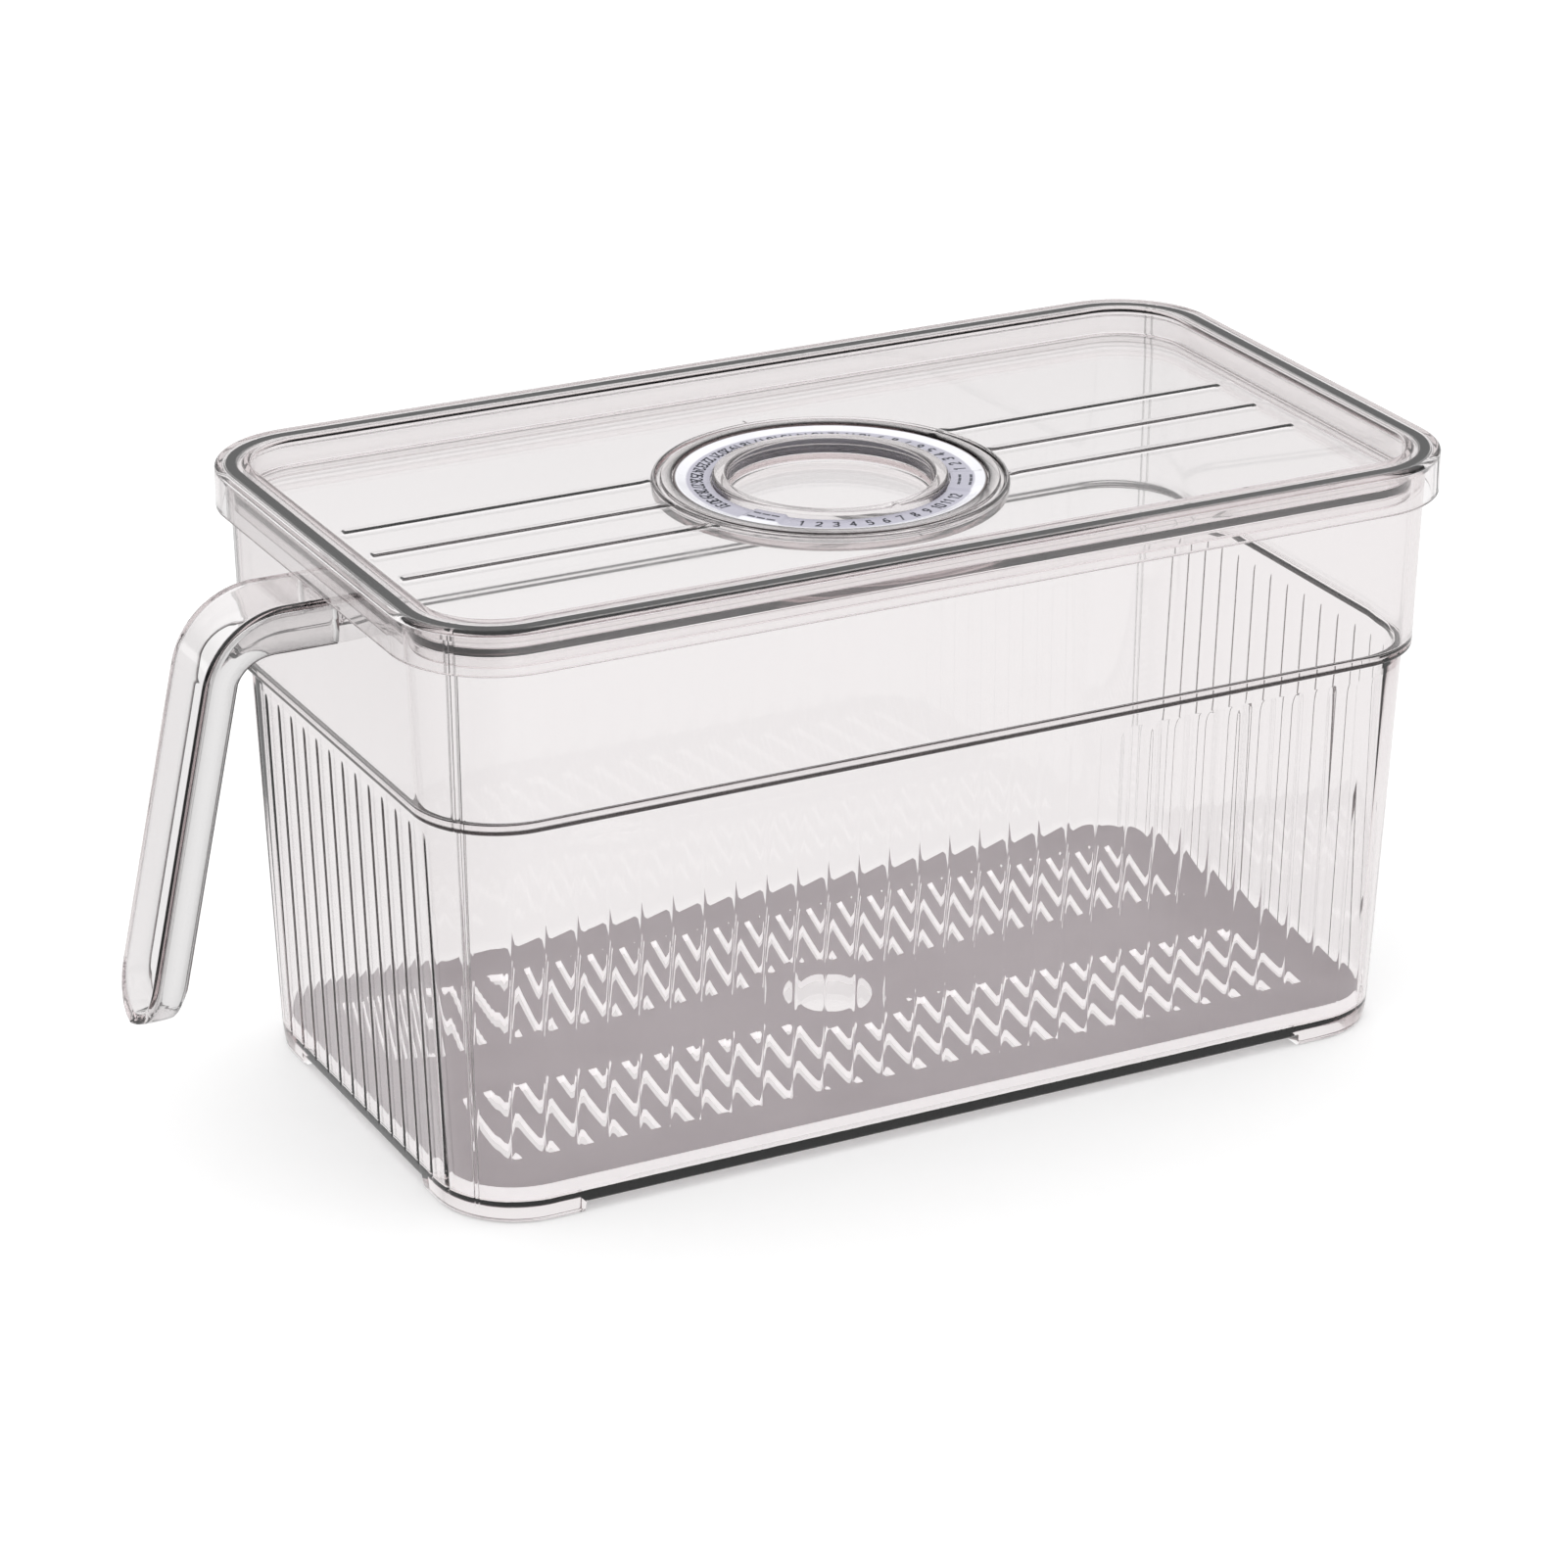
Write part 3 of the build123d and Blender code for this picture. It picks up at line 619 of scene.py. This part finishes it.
def make_bin():
    """Bin as one closed skin: inner floor and wall, rim, fluted outer wall, feet, underside."""
    rows, dark = [], []

    def add(inset, z, corner, depth=0.0, seam_depth=0.0):
        point, normal, groove, seam, line, _ = bin_loop(inset, corner)
        sunk = groove * depth + seam * seam_depth
        rows.append(raise_loop(point - normal * sunk[:, None], z))
        # Painted shade along the end grooves and the mould seams
        dark.append(line * depth + SEAM_PAINTED_SHADE * seam * (seam_depth > 0))

    floor_inset = wall_inset(FLOOR) + WALL
    floor = [(30.0, FLOOR, 0), (floor_inset, FLOOR, 1.2), (LEDGE_INSET, LEDGE, 0)]
    for inset, z in rounded_profile(floor)[1:-1]:
        add(inset, z, INNER_CORNER)
    rows.insert(0, rows[0] * [0.5, 0.5, 1.0])
    dark.insert(0, dark[0])
    bead_under, step_top, step_side = BIN_TOP - BEAD_HEIGHT, SHOULDER + 1.8, SHOULDER + 1.4
    upper = rounded_profile([
        (floor_inset, FLOOR, 0), (LEDGE_INSET, LEDGE, 1.0), (band_inset(LEDGE) + WALL, LEDGE, 0.5),
        (band_inset(BIN_TOP) + WALL, BIN_TOP, 0.4), (BEAD_INSET, BIN_TOP, 0.4),
        (BEAD_INSET, bead_under, 0.3), (band_inset(bead_under), bead_under, 0.3),
        (band_inset(step_top), step_top, 0), (band_inset(step_side), step_side, 0),
        (BAND_FOOT, SHOULDER, 0.9), (6.9, SHOULDER, 0.7), (wall_inset(FLUTE_HEAD), FLUTE_HEAD, 0),
    ])
    for inset, z in upper[1:-1]:
        add(inset, z, bin_corner(inset, z), seam_depth=SEAM_DEPTH)
        # The step's lower edge looks dark from outside: painted shade along it
        if SHOULDER - 0.1 < z < SHOULDER + 1.5 and inset < 6.4:
            dark[-1][:] = 1.0
    head = FLUTE_HEAD - np.array([0.0, 0.3, 0.8, 1.6, 2.8, 5.0])
    foot = FLUTE_FOOT + np.array([3.0, 1.8, 1.0, 0.4, 0.0])
    for z in np.concatenate([head, np.linspace(92, 16, 7), foot]):
        head_share = np.clip((FLUTE_HEAD - z) / FLUTE_HEAD_RUN, 0, 1)
        foot_share = np.clip((z - FLUTE_FOOT) / FLUTE_FOOT_RUN, 0, 1)
        add(wall_inset(z), z, FLUTED_CORNER, math.sqrt(head_share * foot_share), SEAM_DEPTH)
    # Base edge: a foot's outline at the corners and a low round edge between them
    pad = [
        (10.62, 4.0), (10.9, 1.2), (11.3, 0.4), (12.0, 0.0),
        (16.6, 0.0), (17.0, 0.3), (17.1, 2.6), (17.6, 3.0),
    ]
    plain = [
        (10.62, 4.0), (10.75, 3.5), (11.1, 3.15), (11.7, 3.0),
        (14.0, 3.0), (16.6, 3.0), (17.1, 3.0), (17.6, 3.0),
    ]
    for (pad_inset, pad_z), (plain_inset, plain_z) in zip(pad, plain):
        pad_corner = FLUTED_CORNER if pad_inset < 14 else FOOT_CORNER
        plain_corner = FLUTED_CORNER if plain_inset < 14 else FOOT_CORNER
        on_pad, _, _, _, _, share = bin_loop(pad_inset, pad_corner)
        between = bin_loop(plain_inset, plain_corner)[0]
        point = between + (on_pad - between) * share[:, None]
        rows.append(raise_loop(point, plain_z + (pad_z - plain_z) * share))
        dark.append(np.zeros(len(share)))
    rows.extend(rows[-1] * [share, share, 1.0] for share in (0.95, 0.5))
    dark.extend([dark[-1], dark[-1]])
    shell = close_grid(
        "bin_shell", np.array(rows), CLEAR,
        first_pole=[[0.0, 0.0, FLOOR]], last_pole=[[0.0, 0.0, BASE]],
    )
    paint_shade_lines(shell, dark)
    return shell


# Handle

HALF_WIDTH, PLATE = 12.8, 2.2
HANDLE_START, HANDLE_TOP, HANDLE_TIP = -145.0, 154.4, 43.8
LEAN = math.radians(12.0)
BEND = 23.5
CORNER_POINT = np.array([-178.45, HANDLE_TOP])
TOP_DEPTH, LOW_DEPTH = 12.4, 9.2
FLANGE_BULGE = 1.2
HOOK_FOOT, HOOK_SHELF, HOOK_TOP, HOOK_REACH = 147.4, 148.6, 152.1, 1.2
HOOK_MIDDLE = 11.7


def handle_stations():
    """Path of the handle's outer face: points, directions into the channel, channel depths.

    The last two values are where the round end starts and where the channel inside it ends."""
    down = np.array([-math.sin(LEAN), -math.cos(LEAN)])
    tangent = BEND * math.tan((math.pi / 2 - LEAN) / 2)
    bend_start = CORNER_POINT[0] + tangent
    low_depth = LOW_DEPTH / math.cos(LEAN)
    points, inward, depth = [], [], []
    for x in np.linspace(HANDLE_START, bend_start, 6)[:-1]:
        points.append([x, HANDLE_TOP])
        inward.append([0.0, -1.0])
        depth.append(TOP_DEPTH)
    centre = np.array([bend_start, HANDLE_TOP - BEND])
    for share in np.linspace(0, 1, 18):
        angle = share * (math.pi / 2 - LEAN)
        points.append(centre + BEND * np.array([-math.sin(angle), math.cos(angle)]))
        lean = share * math.pi / 2
        inward.append([math.sin(lean), -math.cos(lean)])
        depth.append(TOP_DEPTH + share * share * (3 - 2 * share) * (low_depth - TOP_DEPTH))
    round_start = HANDLE_TIP + HALF_WIDTH
    heights = np.linspace(points[-1][1], round_start, 9)[1:]
    outer_steps = round_start - HALF_WIDTH * np.sin(np.linspace(0, math.pi / 2, 25))[1:]
    inner_steps = round_start - (HALF_WIDTH - PLATE) * np.sin(np.linspace(0, math.pi / 2, 15))[1:]
    # The tip's last row stays a little wide, and the channel ends between two close rows
    outer_steps[-1] += 0.02
    inner_end = inner_steps[-1]
    heights = np.concatenate([heights, outer_steps, inner_steps, [inner_end - 0.05]])
    for z in np.unique(heights.round(4))[::-1]:
        points.append(CORNER_POINT + down * (HANDLE_TOP - z) / math.cos(LEAN))
        inward.append([1.0, 0.0])
        depth.append(low_depth)
    return np.array(points), np.array(inward), np.array(depth), round_start, inner_end


def channel_section(outer, inner, depth, closed):
    """Half of the channel's section from its lip to the plate's middle: outside, then inside.

    Across is y and down is the way into the channel; where the channel has ended, the inner
    boundary lies on the lip's plane."""
    lip = min(PLATE / 2, outer * 0.6)
    turn = np.radians([75.0, 45.0, 15.0])
    rim_y = outer - lip + lip * np.cos(turn)
    rim_d = depth - lip + lip * np.sin(turn)
    edge = min(1.3, outer * 0.6)
    round_turn = np.linspace(0, math.pi / 2, 5)
    edge_y = outer - edge + edge * np.cos(round_turn)
    edge_d = edge - edge * np.sin(round_turn)
    flat_y = (outer - edge) * np.array([0.7, 0.35, 0.0])
    side_d = depth * np.array([0.78, 0.65, 0.5, 0.36, 0.24])
    outside = np.column_stack([
        np.concatenate([rim_y, np.full(5, outer), edge_y, flat_y]),
        np.concatenate([rim_d, side_d, edge_d, np.zeros(3)]),
    ])
    bulge = FLANGE_BULGE * min(1.0, outer / HALF_WIDTH) * (2 * outside[:, 1] / depth - 1) ** 2
    outside[:, 0] = np.maximum(outside[:, 0] - bulge, 0.0)
    if closed:
        spread = (outer - lip) * np.linspace(0.95, 0.0, len(outside))
        return outside, np.column_stack([spread, np.full(len(spread), depth)])
    rim_y = inner + lip - lip * np.cos(turn)
    edge = min(1.0, inner * 0.6)
    edge_y = inner - edge + edge * np.cos(round_turn)
    edge_d = PLATE + edge - edge * np.sin(round_turn)
    flat_y = (inner - edge) * np.array([0.7, 0.35, 0.0])
    side_d = depth * np.array([0.74, 0.65, 0.56, 0.5, 0.45])
    inside = np.column_stack([
        np.concatenate([rim_y, np.full(5, inner), edge_y, flat_y]),
        np.concatenate([rim_d, side_d, edge_d, np.full(3, PLATE)]),
    ])
    return outside, inside


def make_handle():
    """Channel handle: a U section swept down its bent side profile, with a round lower end."""
    points, inward, depths, round_start, inner_end = handle_stations()
    mirror = [-1.0, 1.0]
    rows, dark = [], []
    for index, (point, into, depth) in enumerate(zip(points, inward, depths)):
        drop = max(0.0, round_start - point[1])
        outer = math.sqrt(max(HALF_WIDTH**2 - drop**2, 1e-4))
        inner = math.sqrt(max((HALF_WIDTH - PLATE) ** 2 - drop**2, 0.04))
        outside, inside = channel_section(outer, inner, depth, point[1] < inner_end - 0.02)
        loop = np.vstack([
            outside, (outside * mirror)[::-1][1:], inside * mirror, inside[::-1][1:],
        ])
        x = point[0] + into[0] * loop[:, 1]
        z = point[1] + into[1] * loop[:, 1]
        if index == 0:
            # The handle's root follows the band's outer face
            x = -LID_HALF_X + band_inset(z) - 0.03
        rows.append(np.stack([x, loop[:, 0], z], axis=-1))
        # The flanges' outer faces get painted shade, darker towards their edges, as a thick round
        # bar looks
        on_flange = (np.abs(loop[:, 0]) > inner + 0.3) & (loop[:, 1] > 1.0)
        dark.append(on_flange * (0.3 + 0.5 * (2 * loop[:, 1] / depth - 1) ** 2))
    channel = close_grid("handle_channel", np.array(rows), CLEAR_HANDLE, strips=True)
    paint_shade_lines(channel, dark)
    return channel


def make_tab(name, side):
    """Hook of the handle behind the band's wall: a small block with rounded edges."""
    start = -LID_HALF_X + band_inset(150.0) + WALL + 0.05
    profile = rounded_profile([
        (0.0, HOOK_FOOT, 0.2), (HOOK_REACH, HOOK_SHELF, 0.4), (HOOK_REACH, HOOK_TOP, 0.3),
        (0.0, HOOK_TOP, 0.2),
    ], closed=True)
    centre = profile.mean(axis=0)
    rows = []
    for share, shift in ((0.8, -1.1), (1.0, -0.8), (1.0, 0.8), (0.8, 1.1)):
        ring = centre + (profile - centre) * share
        y = np.full(len(ring), side * HOOK_MIDDLE + shift)
        rows.append(np.column_stack([start + ring[:, 0], y, ring[:, 1]]))
    return close_grid(
        name, np.array(rows), CLEAR_HANDLE,
        first_pole=rows[0].mean(axis=0)[None], last_pole=rows[-1].mean(axis=0)[None],
    )


# Dial

DIAL_COLUMNS = 384
ISLANDS = ((-31.5, 23.0), (-146.5, 17.0))
STRIP_FLOOR, DISC_TOP = 158.9, 159.6
RING_UNDER, FLANGE_TOP, DISC_UNDER = 156.5, 157.9, 158.1
POINTER_TOP, POINTER_STEP, GRIP_TOP = 160.2, 159.4, 160.8
MARK_HEIGHT, MARK_SPREAD, MARK_SLOPE = 0.45, 3.0, 0.9

# Ring profiles of (radius, z, rounding)
POINTER_PROFILE = [
    (39.7, RING_UNDER, 0.2), (39.7, FLANGE_TOP, 0.2), (41.9, FLANGE_TOP, 0.2),
    (41.9, POINTER_TOP, 0.35), (44.9, POINTER_TOP, 0.35), (44.9, POINTER_STEP, 0.2),
    (46.1, POINTER_STEP, 0.3), (46.1, RING_UNDER, 0.3),
]
DISC_PROFILE = [
    (33.9, RING_UNDER, 0.2), (33.9, DISC_UNDER, 0.2), (31.7, DISC_UNDER, 0.15),
    (31.7, STRIP_FLOOR, 0.15), (38.3, STRIP_FLOOR, 0.3), (40.5, DISC_TOP, 0.2),
    (41.6, DISC_TOP, 0.3), (41.6, DISC_UNDER, 0.3), (39.4, DISC_UNDER, 0.2),
    (39.4, RING_UNDER, 0.2),
]
GRIP_PROFILE = [
    (27.4, RING_UNDER, 0.3), (27.4, GRIP_TOP, 1.0), (31.4, GRIP_TOP, 1.0),
    (31.4, FLANGE_TOP, 0.2), (33.6, FLANGE_TOP, 0.2), (33.6, RING_UNDER, 0.2),
]

# Part of a ring darkened from outside by painted shade: lowest and highest radius, lowest z,
# strength
POINTER_PAINTED_SHADE = (41.0, 42.4, 158.2, 1.0)
GRIP_PAINTED_SHADE = (27.0, 27.7, 156.0, 0.45)


def angle_mask(angle, spread):
    """One inside a sector of the dial, nought outside, with a short slope between."""
    bearing = np.arange(DIAL_COLUMNS) * 360.0 / DIAL_COLUMNS
    away = np.abs((bearing - angle + 180.0) % 360.0 - 180.0)
    return np.clip((spread / 2 - away) / MARK_SLOPE + 0.5, 0, 1)


def revolve(name, corners, material, lift, line=None):
    """Ring from a closed profile, turned about the dial's axis and lifted at its marks; a line adds
    painted shade on part of its profile.
    """
    profile = rounded_profile(corners, closed=True)
    bearing = np.radians(np.arange(DIAL_COLUMNS) * 360.0 / DIAL_COLUMNS)
    radius, z = profile[:, :1], profile[:, 1:]
    height = lift(radius, np.broadcast_to(z, (len(profile), DIAL_COLUMNS)).copy())
    points = np.stack([radius * np.cos(bearing), radius * np.sin(bearing), height], axis=-1)
    ring = close_grid(name, points, material, wrap=True)
    if line:
        nearest, furthest, lowest, strength = line
        marked = (radius > nearest) & (radius < furthest) & (z > lowest)
        paint_shade_lines(ring, np.repeat(marked[:, 0] * strength, DIAL_COLUMNS))
    return ring


def pointer_lift(radius, height):
    """Raised index mark on the outer ring's inner edge."""
    mark = angle_mask(21.2, MARK_SPREAD)
    return height + MARK_HEIGHT * mark * ((radius < 43.4) & (height > 160.0))


def grip_lift(radius, height):
    """Raised index mark on the inner ring's outer edge."""
    mark = angle_mask(-84.0, MARK_SPREAD)
    return height + MARK_HEIGHT * mark * ((radius > 30.0) & (height > 160.5))


def island_lift(radius, height):
    """The number strip is filled up to the disc's top at the two label islands."""
    mark = sum(angle_mask(angle, spread) for angle, spread in ISLANDS)
    on_strip = (radius < 40.4) & (height > STRIP_FLOOR - 0.01)
    return np.where(on_strip, height + (DISC_TOP - height) * mark, height)


# Strokes of the digits, 0.6 wide and 1 high
DIGITS = {
    "0": [[(0.1, 0), (0.5, 0), (0.6, 0.2), (0.6, 0.8), (0.5, 1), (0.1, 1), (0, 0.8), (0, 0.2),
           (0.1, 0)]],
    "1": [[(0.1, 0.8), (0.32, 1), (0.32, 0)]],
    "2": [[(0, 0.8), (0.15, 1), (0.45, 1), (0.6, 0.8), (0.55, 0.55), (0, 0), (0.6, 0)]],
    "3": [[(0, 0.9), (0.15, 1), (0.5, 1), (0.6, 0.78), (0.45, 0.53), (0.2, 0.53)],
          [(0.45, 0.53), (0.6, 0.25), (0.5, 0), (0.15, 0), (0, 0.1)]],
    "4": [[(0.45, 0), (0.45, 1), (0, 0.3), (0.6, 0.3)]],
    "5": [[(0.55, 1), (0.05, 1), (0.05, 0.55), (0.45, 0.6), (0.6, 0.4), (0.6, 0.2), (0.45, 0),
           (0, 0.05)]],
    "6": [[(0.5, 1), (0.2, 0.85), (0, 0.4), (0.08, 0.08), (0.3, 0), (0.55, 0.1), (0.6, 0.35),
           (0.42, 0.55), (0.15, 0.5)]],
    "7": [[(0, 1), (0.6, 1), (0.22, 0)]],
    "8": [[(0.3, 0.53), (0.08, 0.72), (0.12, 0.97), (0.48, 0.97), (0.52, 0.72), (0.3, 0.53),
           (0.02, 0.3), (0.08, 0.03), (0.52, 0.03), (0.58, 0.3), (0.3, 0.53)]],
    "9": [[(0.1, 0), (0.4, 0.15), (0.6, 0.6), (0.52, 0.92), (0.3, 1), (0.05, 0.9), (0, 0.65),
           (0.18, 0.45), (0.45, 0.5)]],
}
DIGIT_HEIGHT, DIGIT_STEP, STROKE = 2.9, 1.8, 0.5
DIGIT_NARROWING, DIGIT_WIDTH = 0.8, 0.48
NUMBER_RADIUS = 35.3
FRONT_NUMBERS, FRONT_START, FRONT_STEP = 12, -129.5, 7.2
REST_NUMBERS, REST_START, REST_STEP = 31, -14.4, 6.82
INK_SUNK, INK_RAISED = 0.01, 0.05
BAR_RADII, BAR_SHIFTS = (34.2, 37.2), (-4.5, 0.0, 4.5)
BAR_SPREAD, BAR_WIDTH = math.radians(1.5), 0.7


def number_strokes(text, angle, radius):
    """Straight strokes of one number, its tops towards the dial's middle, as pairs of points."""
    width = DIGIT_STEP * (len(text) - 1) + DIGIT_WIDTH * DIGIT_HEIGHT
    bearing = math.radians(angle)
    right = np.array([-math.sin(bearing), math.cos(bearing)])
    out = np.array([math.cos(bearing), math.sin(bearing)])
    strokes = []
    for place, digit in enumerate(text):
        for line in DIGITS[digit]:
            line = np.array(line) * [DIGIT_NARROWING * DIGIT_HEIGHT, DIGIT_HEIGHT]
            across = line[:, :1] - width / 2 + place * DIGIT_STEP
            spots = out * radius + across * right - (line[:, 1:] - DIGIT_HEIGHT / 2) * out
            strokes.extend(zip(spots[:-1], spots[1:]))
    return strokes


def stroke_blocks(name, strokes, width, ground_z):
    """One mesh of thin flat blocks on the ground z, one along each stroke."""
    start = np.array([s[0] for s in strokes])
    end = np.array([s[1] for s in strokes])
    along = end - start
    along /= np.linalg.norm(along, axis=1, keepdims=True)
    side = np.stack([-along[:, 1], along[:, 0]], axis=-1) * width / 2
    start, end = start - along * width * 0.3, end + along * width * 0.3
    outline = np.stack([start - side, end - side, end + side, start + side], axis=1)
    layers = []
    for z in (ground_z - INK_SUNK, ground_z + INK_RAISED):
        layers.append(np.concatenate([outline, np.full((*outline.shape[:2], 1), z)], axis=-1))
    coords = np.concatenate(layers, axis=1).reshape(-1, 3)
    box = np.array([
        [0, 3, 2, 1], [4, 5, 6, 7], [0, 1, 5, 4], [1, 2, 6, 5], [2, 3, 7, 6], [3, 0, 4, 7],
    ])
    quads = (np.arange(len(strokes))[:, None, None] * 8 + box).reshape(-1, 4)
    return make_piece(name, coords, quads, [], INK)


def make_numbers():
    """Printed numbers: twelve along the front of the strip, thirty-one round the rest."""
    strokes = []
    for count, start, step in (
        (FRONT_NUMBERS, FRONT_START, FRONT_STEP), (REST_NUMBERS, REST_START, REST_STEP),
    ):
        for index in range(count):
            strokes += number_strokes(str(index + 1), start + step * index, NUMBER_RADIUS)
    return stroke_blocks("printed_numbers", strokes, STROKE, STRIP_FLOOR)


def make_island_marks():
    """Plain bars on the two label islands."""
    strokes = []
    for angle, _ in ISLANDS:
        for radius in BAR_RADII:
            for shift in BAR_SHIFTS:
                bearing = math.radians(angle + shift)
                ends = (bearing - BAR_SPREAD, bearing + BAR_SPREAD)
                strokes.append([radius * np.array([math.cos(a), math.sin(a)]) for a in ends])
    return stroke_blocks("island_marks", strokes, BAR_WIDTH, DISC_TOP)


def place_piece(piece, body, node):
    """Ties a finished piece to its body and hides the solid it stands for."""
    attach(piece, body)
    if node:
        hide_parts(node)


place_piece(make_lid(), "lid", "lid")
place_piece(make_bin(), "bin", "bin")
place_piece(make_handle(), "bin", "handle")
place_piece(make_tab("hook_front", -1), "bin", None)
place_piece(make_tab("hook_back", 1), "bin", None)
pointer_ring = revolve(
    "pointer_ring_skin", POINTER_PROFILE, CLEAR_RING, pointer_lift, POINTER_PAINTED_SHADE,
)
place_piece(pointer_ring, "outer_ring", "pointer_ring")
number_disc = revolve("number_disc_skin", DISC_PROFILE, FROSTED, island_lift)
place_piece(number_disc, "lid", "number_disc")
grip_ring = revolve("grip_ring_skin", GRIP_PROFILE, CLEAR_RING, grip_lift, GRIP_PAINTED_SHADE)
place_piece(grip_ring, "inner_ring", "grip_ring")
place_piece(make_numbers(), "lid", None)
place_piece(make_island_marks(), "lid", None)

tray_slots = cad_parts["drain_tray"].data.materials
tray_slots.clear()
tray_slots.append(GREY)


# Studio

FLOOR_HALF = 6000.0
SKY_LEVELS = ((0.0, 0.75), (0.05, 0.75), (0.09, 0.22), (0.2, 0.25), (0.36, 0.66), (0.6, 1.0))
SKY_STRENGTH = 1.35

# Camera as fitted to the photograph: degrees, millimetres from the lid's middle and pixels
AZIMUTH, ELEVATION, ROLL = 27.19, 22.91, 0.06
CAMERA_PLACE = (-606.876, -1154.819, 622.609)
FOCAL_PIXELS, FRAME_PIXELS, SENSOR_WIDTH = 5344.05, 1601, 36.0


def make_floor():
    """Pale floor with the object's shadow; what is seen of it in or through plastic is white.

    Its mirror image fades to grey on the handle's side, a painted reflection as of a grey card
    standing there."""
    mesh = bpy.data.meshes.new("floor")
    corners = [(-1, -1, 0), (1, -1, 0), (1, 1, 0), (-1, 1, 0)]
    mesh.from_pydata([Vector(c) * FLOOR_HALF * MM for c in corners], [], [(0, 1, 2, 3)])
    floor = bpy.data.objects.new("floor", mesh)
    bpy.context.scene.collection.objects.link(floor)
    material = bpy.data.materials.new("pale_floor")
    material.use_nodes = True
    nodes, links = material.node_tree.nodes, material.node_tree.links
    nodes.clear()
    output = nodes.new("ShaderNodeOutputMaterial")
    matte = nodes.new("ShaderNodeBsdfDiffuse")
    matte.inputs["Color"].default_value = (0.78, 0.78, 0.78, 1)
    glow = nodes.new("ShaderNodeEmission")
    glow.inputs["Color"].default_value = (1, 1, 1, 1)
    glow.inputs["Strength"].default_value = 0.3
    both = nodes.new("ShaderNodeAddShader")
    links.new(matte.outputs[0], both.inputs[0])
    links.new(glow.outputs[0], both.inputs[1])
    light = nodes.new("ShaderNodeLightPath")
    either = nodes.new("ShaderNodeMath")
    either.operation = "MAXIMUM"
    place = nodes.new("ShaderNodeTexCoord")
    parts = nodes.new("ShaderNodeSeparateXYZ")
    # Painted reflection: the floor seen by glossy rays fades to grey towards -X
    fade = nodes.new("ShaderNodeMapRange")
    fade.inputs["From Min"].default_value = -0.32
    fade.inputs["From Max"].default_value = -0.13
    fade.inputs["To Min"].default_value = 0.55
    fade.inputs["To Max"].default_value = 1.0
    level = nodes.new("ShaderNodeMix")
    level.inputs["A"].default_value = 1.0
    seen = nodes.new("ShaderNodeEmission")
    mix = nodes.new("ShaderNodeMixShader")
    links.new(light.outputs["Is Transmission Ray"], either.inputs[0])
    links.new(light.outputs["Is Glossy Ray"], either.inputs[1])
    links.new(place.outputs["Object"], parts.inputs["Vector"])
    links.new(parts.outputs["X"], fade.inputs["Value"])
    links.new(light.outputs["Is Glossy Ray"], level.inputs["Factor"])
    links.new(fade.outputs["Result"], level.inputs["B"])
    links.new(level.outputs["Result"], seen.inputs["Strength"])
    links.new(either.outputs[0], mix.inputs["Fac"])
    links.new(both.outputs[0], mix.inputs[1])
    links.new(seen.outputs[0], mix.inputs[2])
    links.new(mix.outputs[0], output.inputs["Surface"])
    mesh.materials.append(material)


def make_room():
    """World light: bright overhead with a dark band low down, and white behind everything."""
    world = bpy.data.worlds.new("room")
    bpy.context.scene.world = world
    world.use_nodes = True
    nodes, links = world.node_tree.nodes, world.node_tree.links
    nodes.clear()
    output = nodes.new("ShaderNodeOutputWorld")
    place = nodes.new("ShaderNodeTexCoord")
    parts = nodes.new("ShaderNodeSeparateXYZ")
    bands = nodes.new("ShaderNodeValToRGB")
    ramp = bands.color_ramp
    for element, (height, level) in zip(ramp.elements, (SKY_LEVELS[0], SKY_LEVELS[-1])):
        element.position, element.color = height, (level, level, level, 1)
    for height, level in SKY_LEVELS[1:-1]:
        ramp.elements.new(height).color = (level, level, level, 1)
    sky = nodes.new("ShaderNodeBackground")
    sky.inputs["Strength"].default_value = SKY_STRENGTH
    white = nodes.new("ShaderNodeBackground")
    white.inputs["Color"].default_value = (1, 1, 1, 1)
    light = nodes.new("ShaderNodeLightPath")
    mix = nodes.new("ShaderNodeMixShader")
    links.new(place.outputs["Generated"], parts.inputs["Vector"])
    links.new(parts.outputs["Z"], bands.inputs["Fac"])
    links.new(bands.outputs["Color"], sky.inputs["Color"])
    links.new(light.outputs["Is Camera Ray"], mix.inputs["Fac"])
    links.new(sky.outputs[0], mix.inputs[1])
    links.new(white.outputs[0], mix.inputs[2])
    links.new(mix.outputs[0], output.inputs["Surface"])


def make_camera():
    """Camera fitted to the photograph's edges."""
    azimuth, elevation, roll = (math.radians(angle) for angle in (AZIMUTH, ELEVATION, ROLL))
    back = Vector((
        -math.sin(azimuth) * math.cos(elevation),
        -math.cos(azimuth) * math.cos(elevation),
        math.sin(elevation),
    ))
    right = (-back).cross(Vector((0, 0, 1))).normalized()
    up = right.cross(-back)
    turned_right = right * math.cos(roll) + up * math.sin(roll)
    turned_up = up * math.cos(roll) - right * math.sin(roll)
    x, y, z = CAMERA_PLACE
    data = bpy.data.cameras.new("camera")
    data.sensor_width = SENSOR_WIDTH
    data.lens = FOCAL_PIXELS / FRAME_PIXELS * SENSOR_WIDTH
    data.clip_start = 0.05
    data.clip_end = 50
    camera = bpy.data.objects.new("camera", data)
    rotation = Matrix((turned_right, turned_up, back)).transposed().to_4x4()
    camera.matrix_world = Matrix.Translation(Vector((x + CENTRE_X, y, z)) * MM) @ rotation
    bpy.context.scene.collection.objects.link(camera)
    bpy.context.scene.camera = camera


make_floor()
make_room()
make_camera()

scene = bpy.context.scene
scene.view_settings.view_transform = "Standard"
scene.cycles.max_bounces = 32
scene.cycles.transmission_bounces = 32
scene.cycles.glossy_bounces = 8
scene.cycles.transparent_max_bounces = 24

bpy.context.view_layer.update()
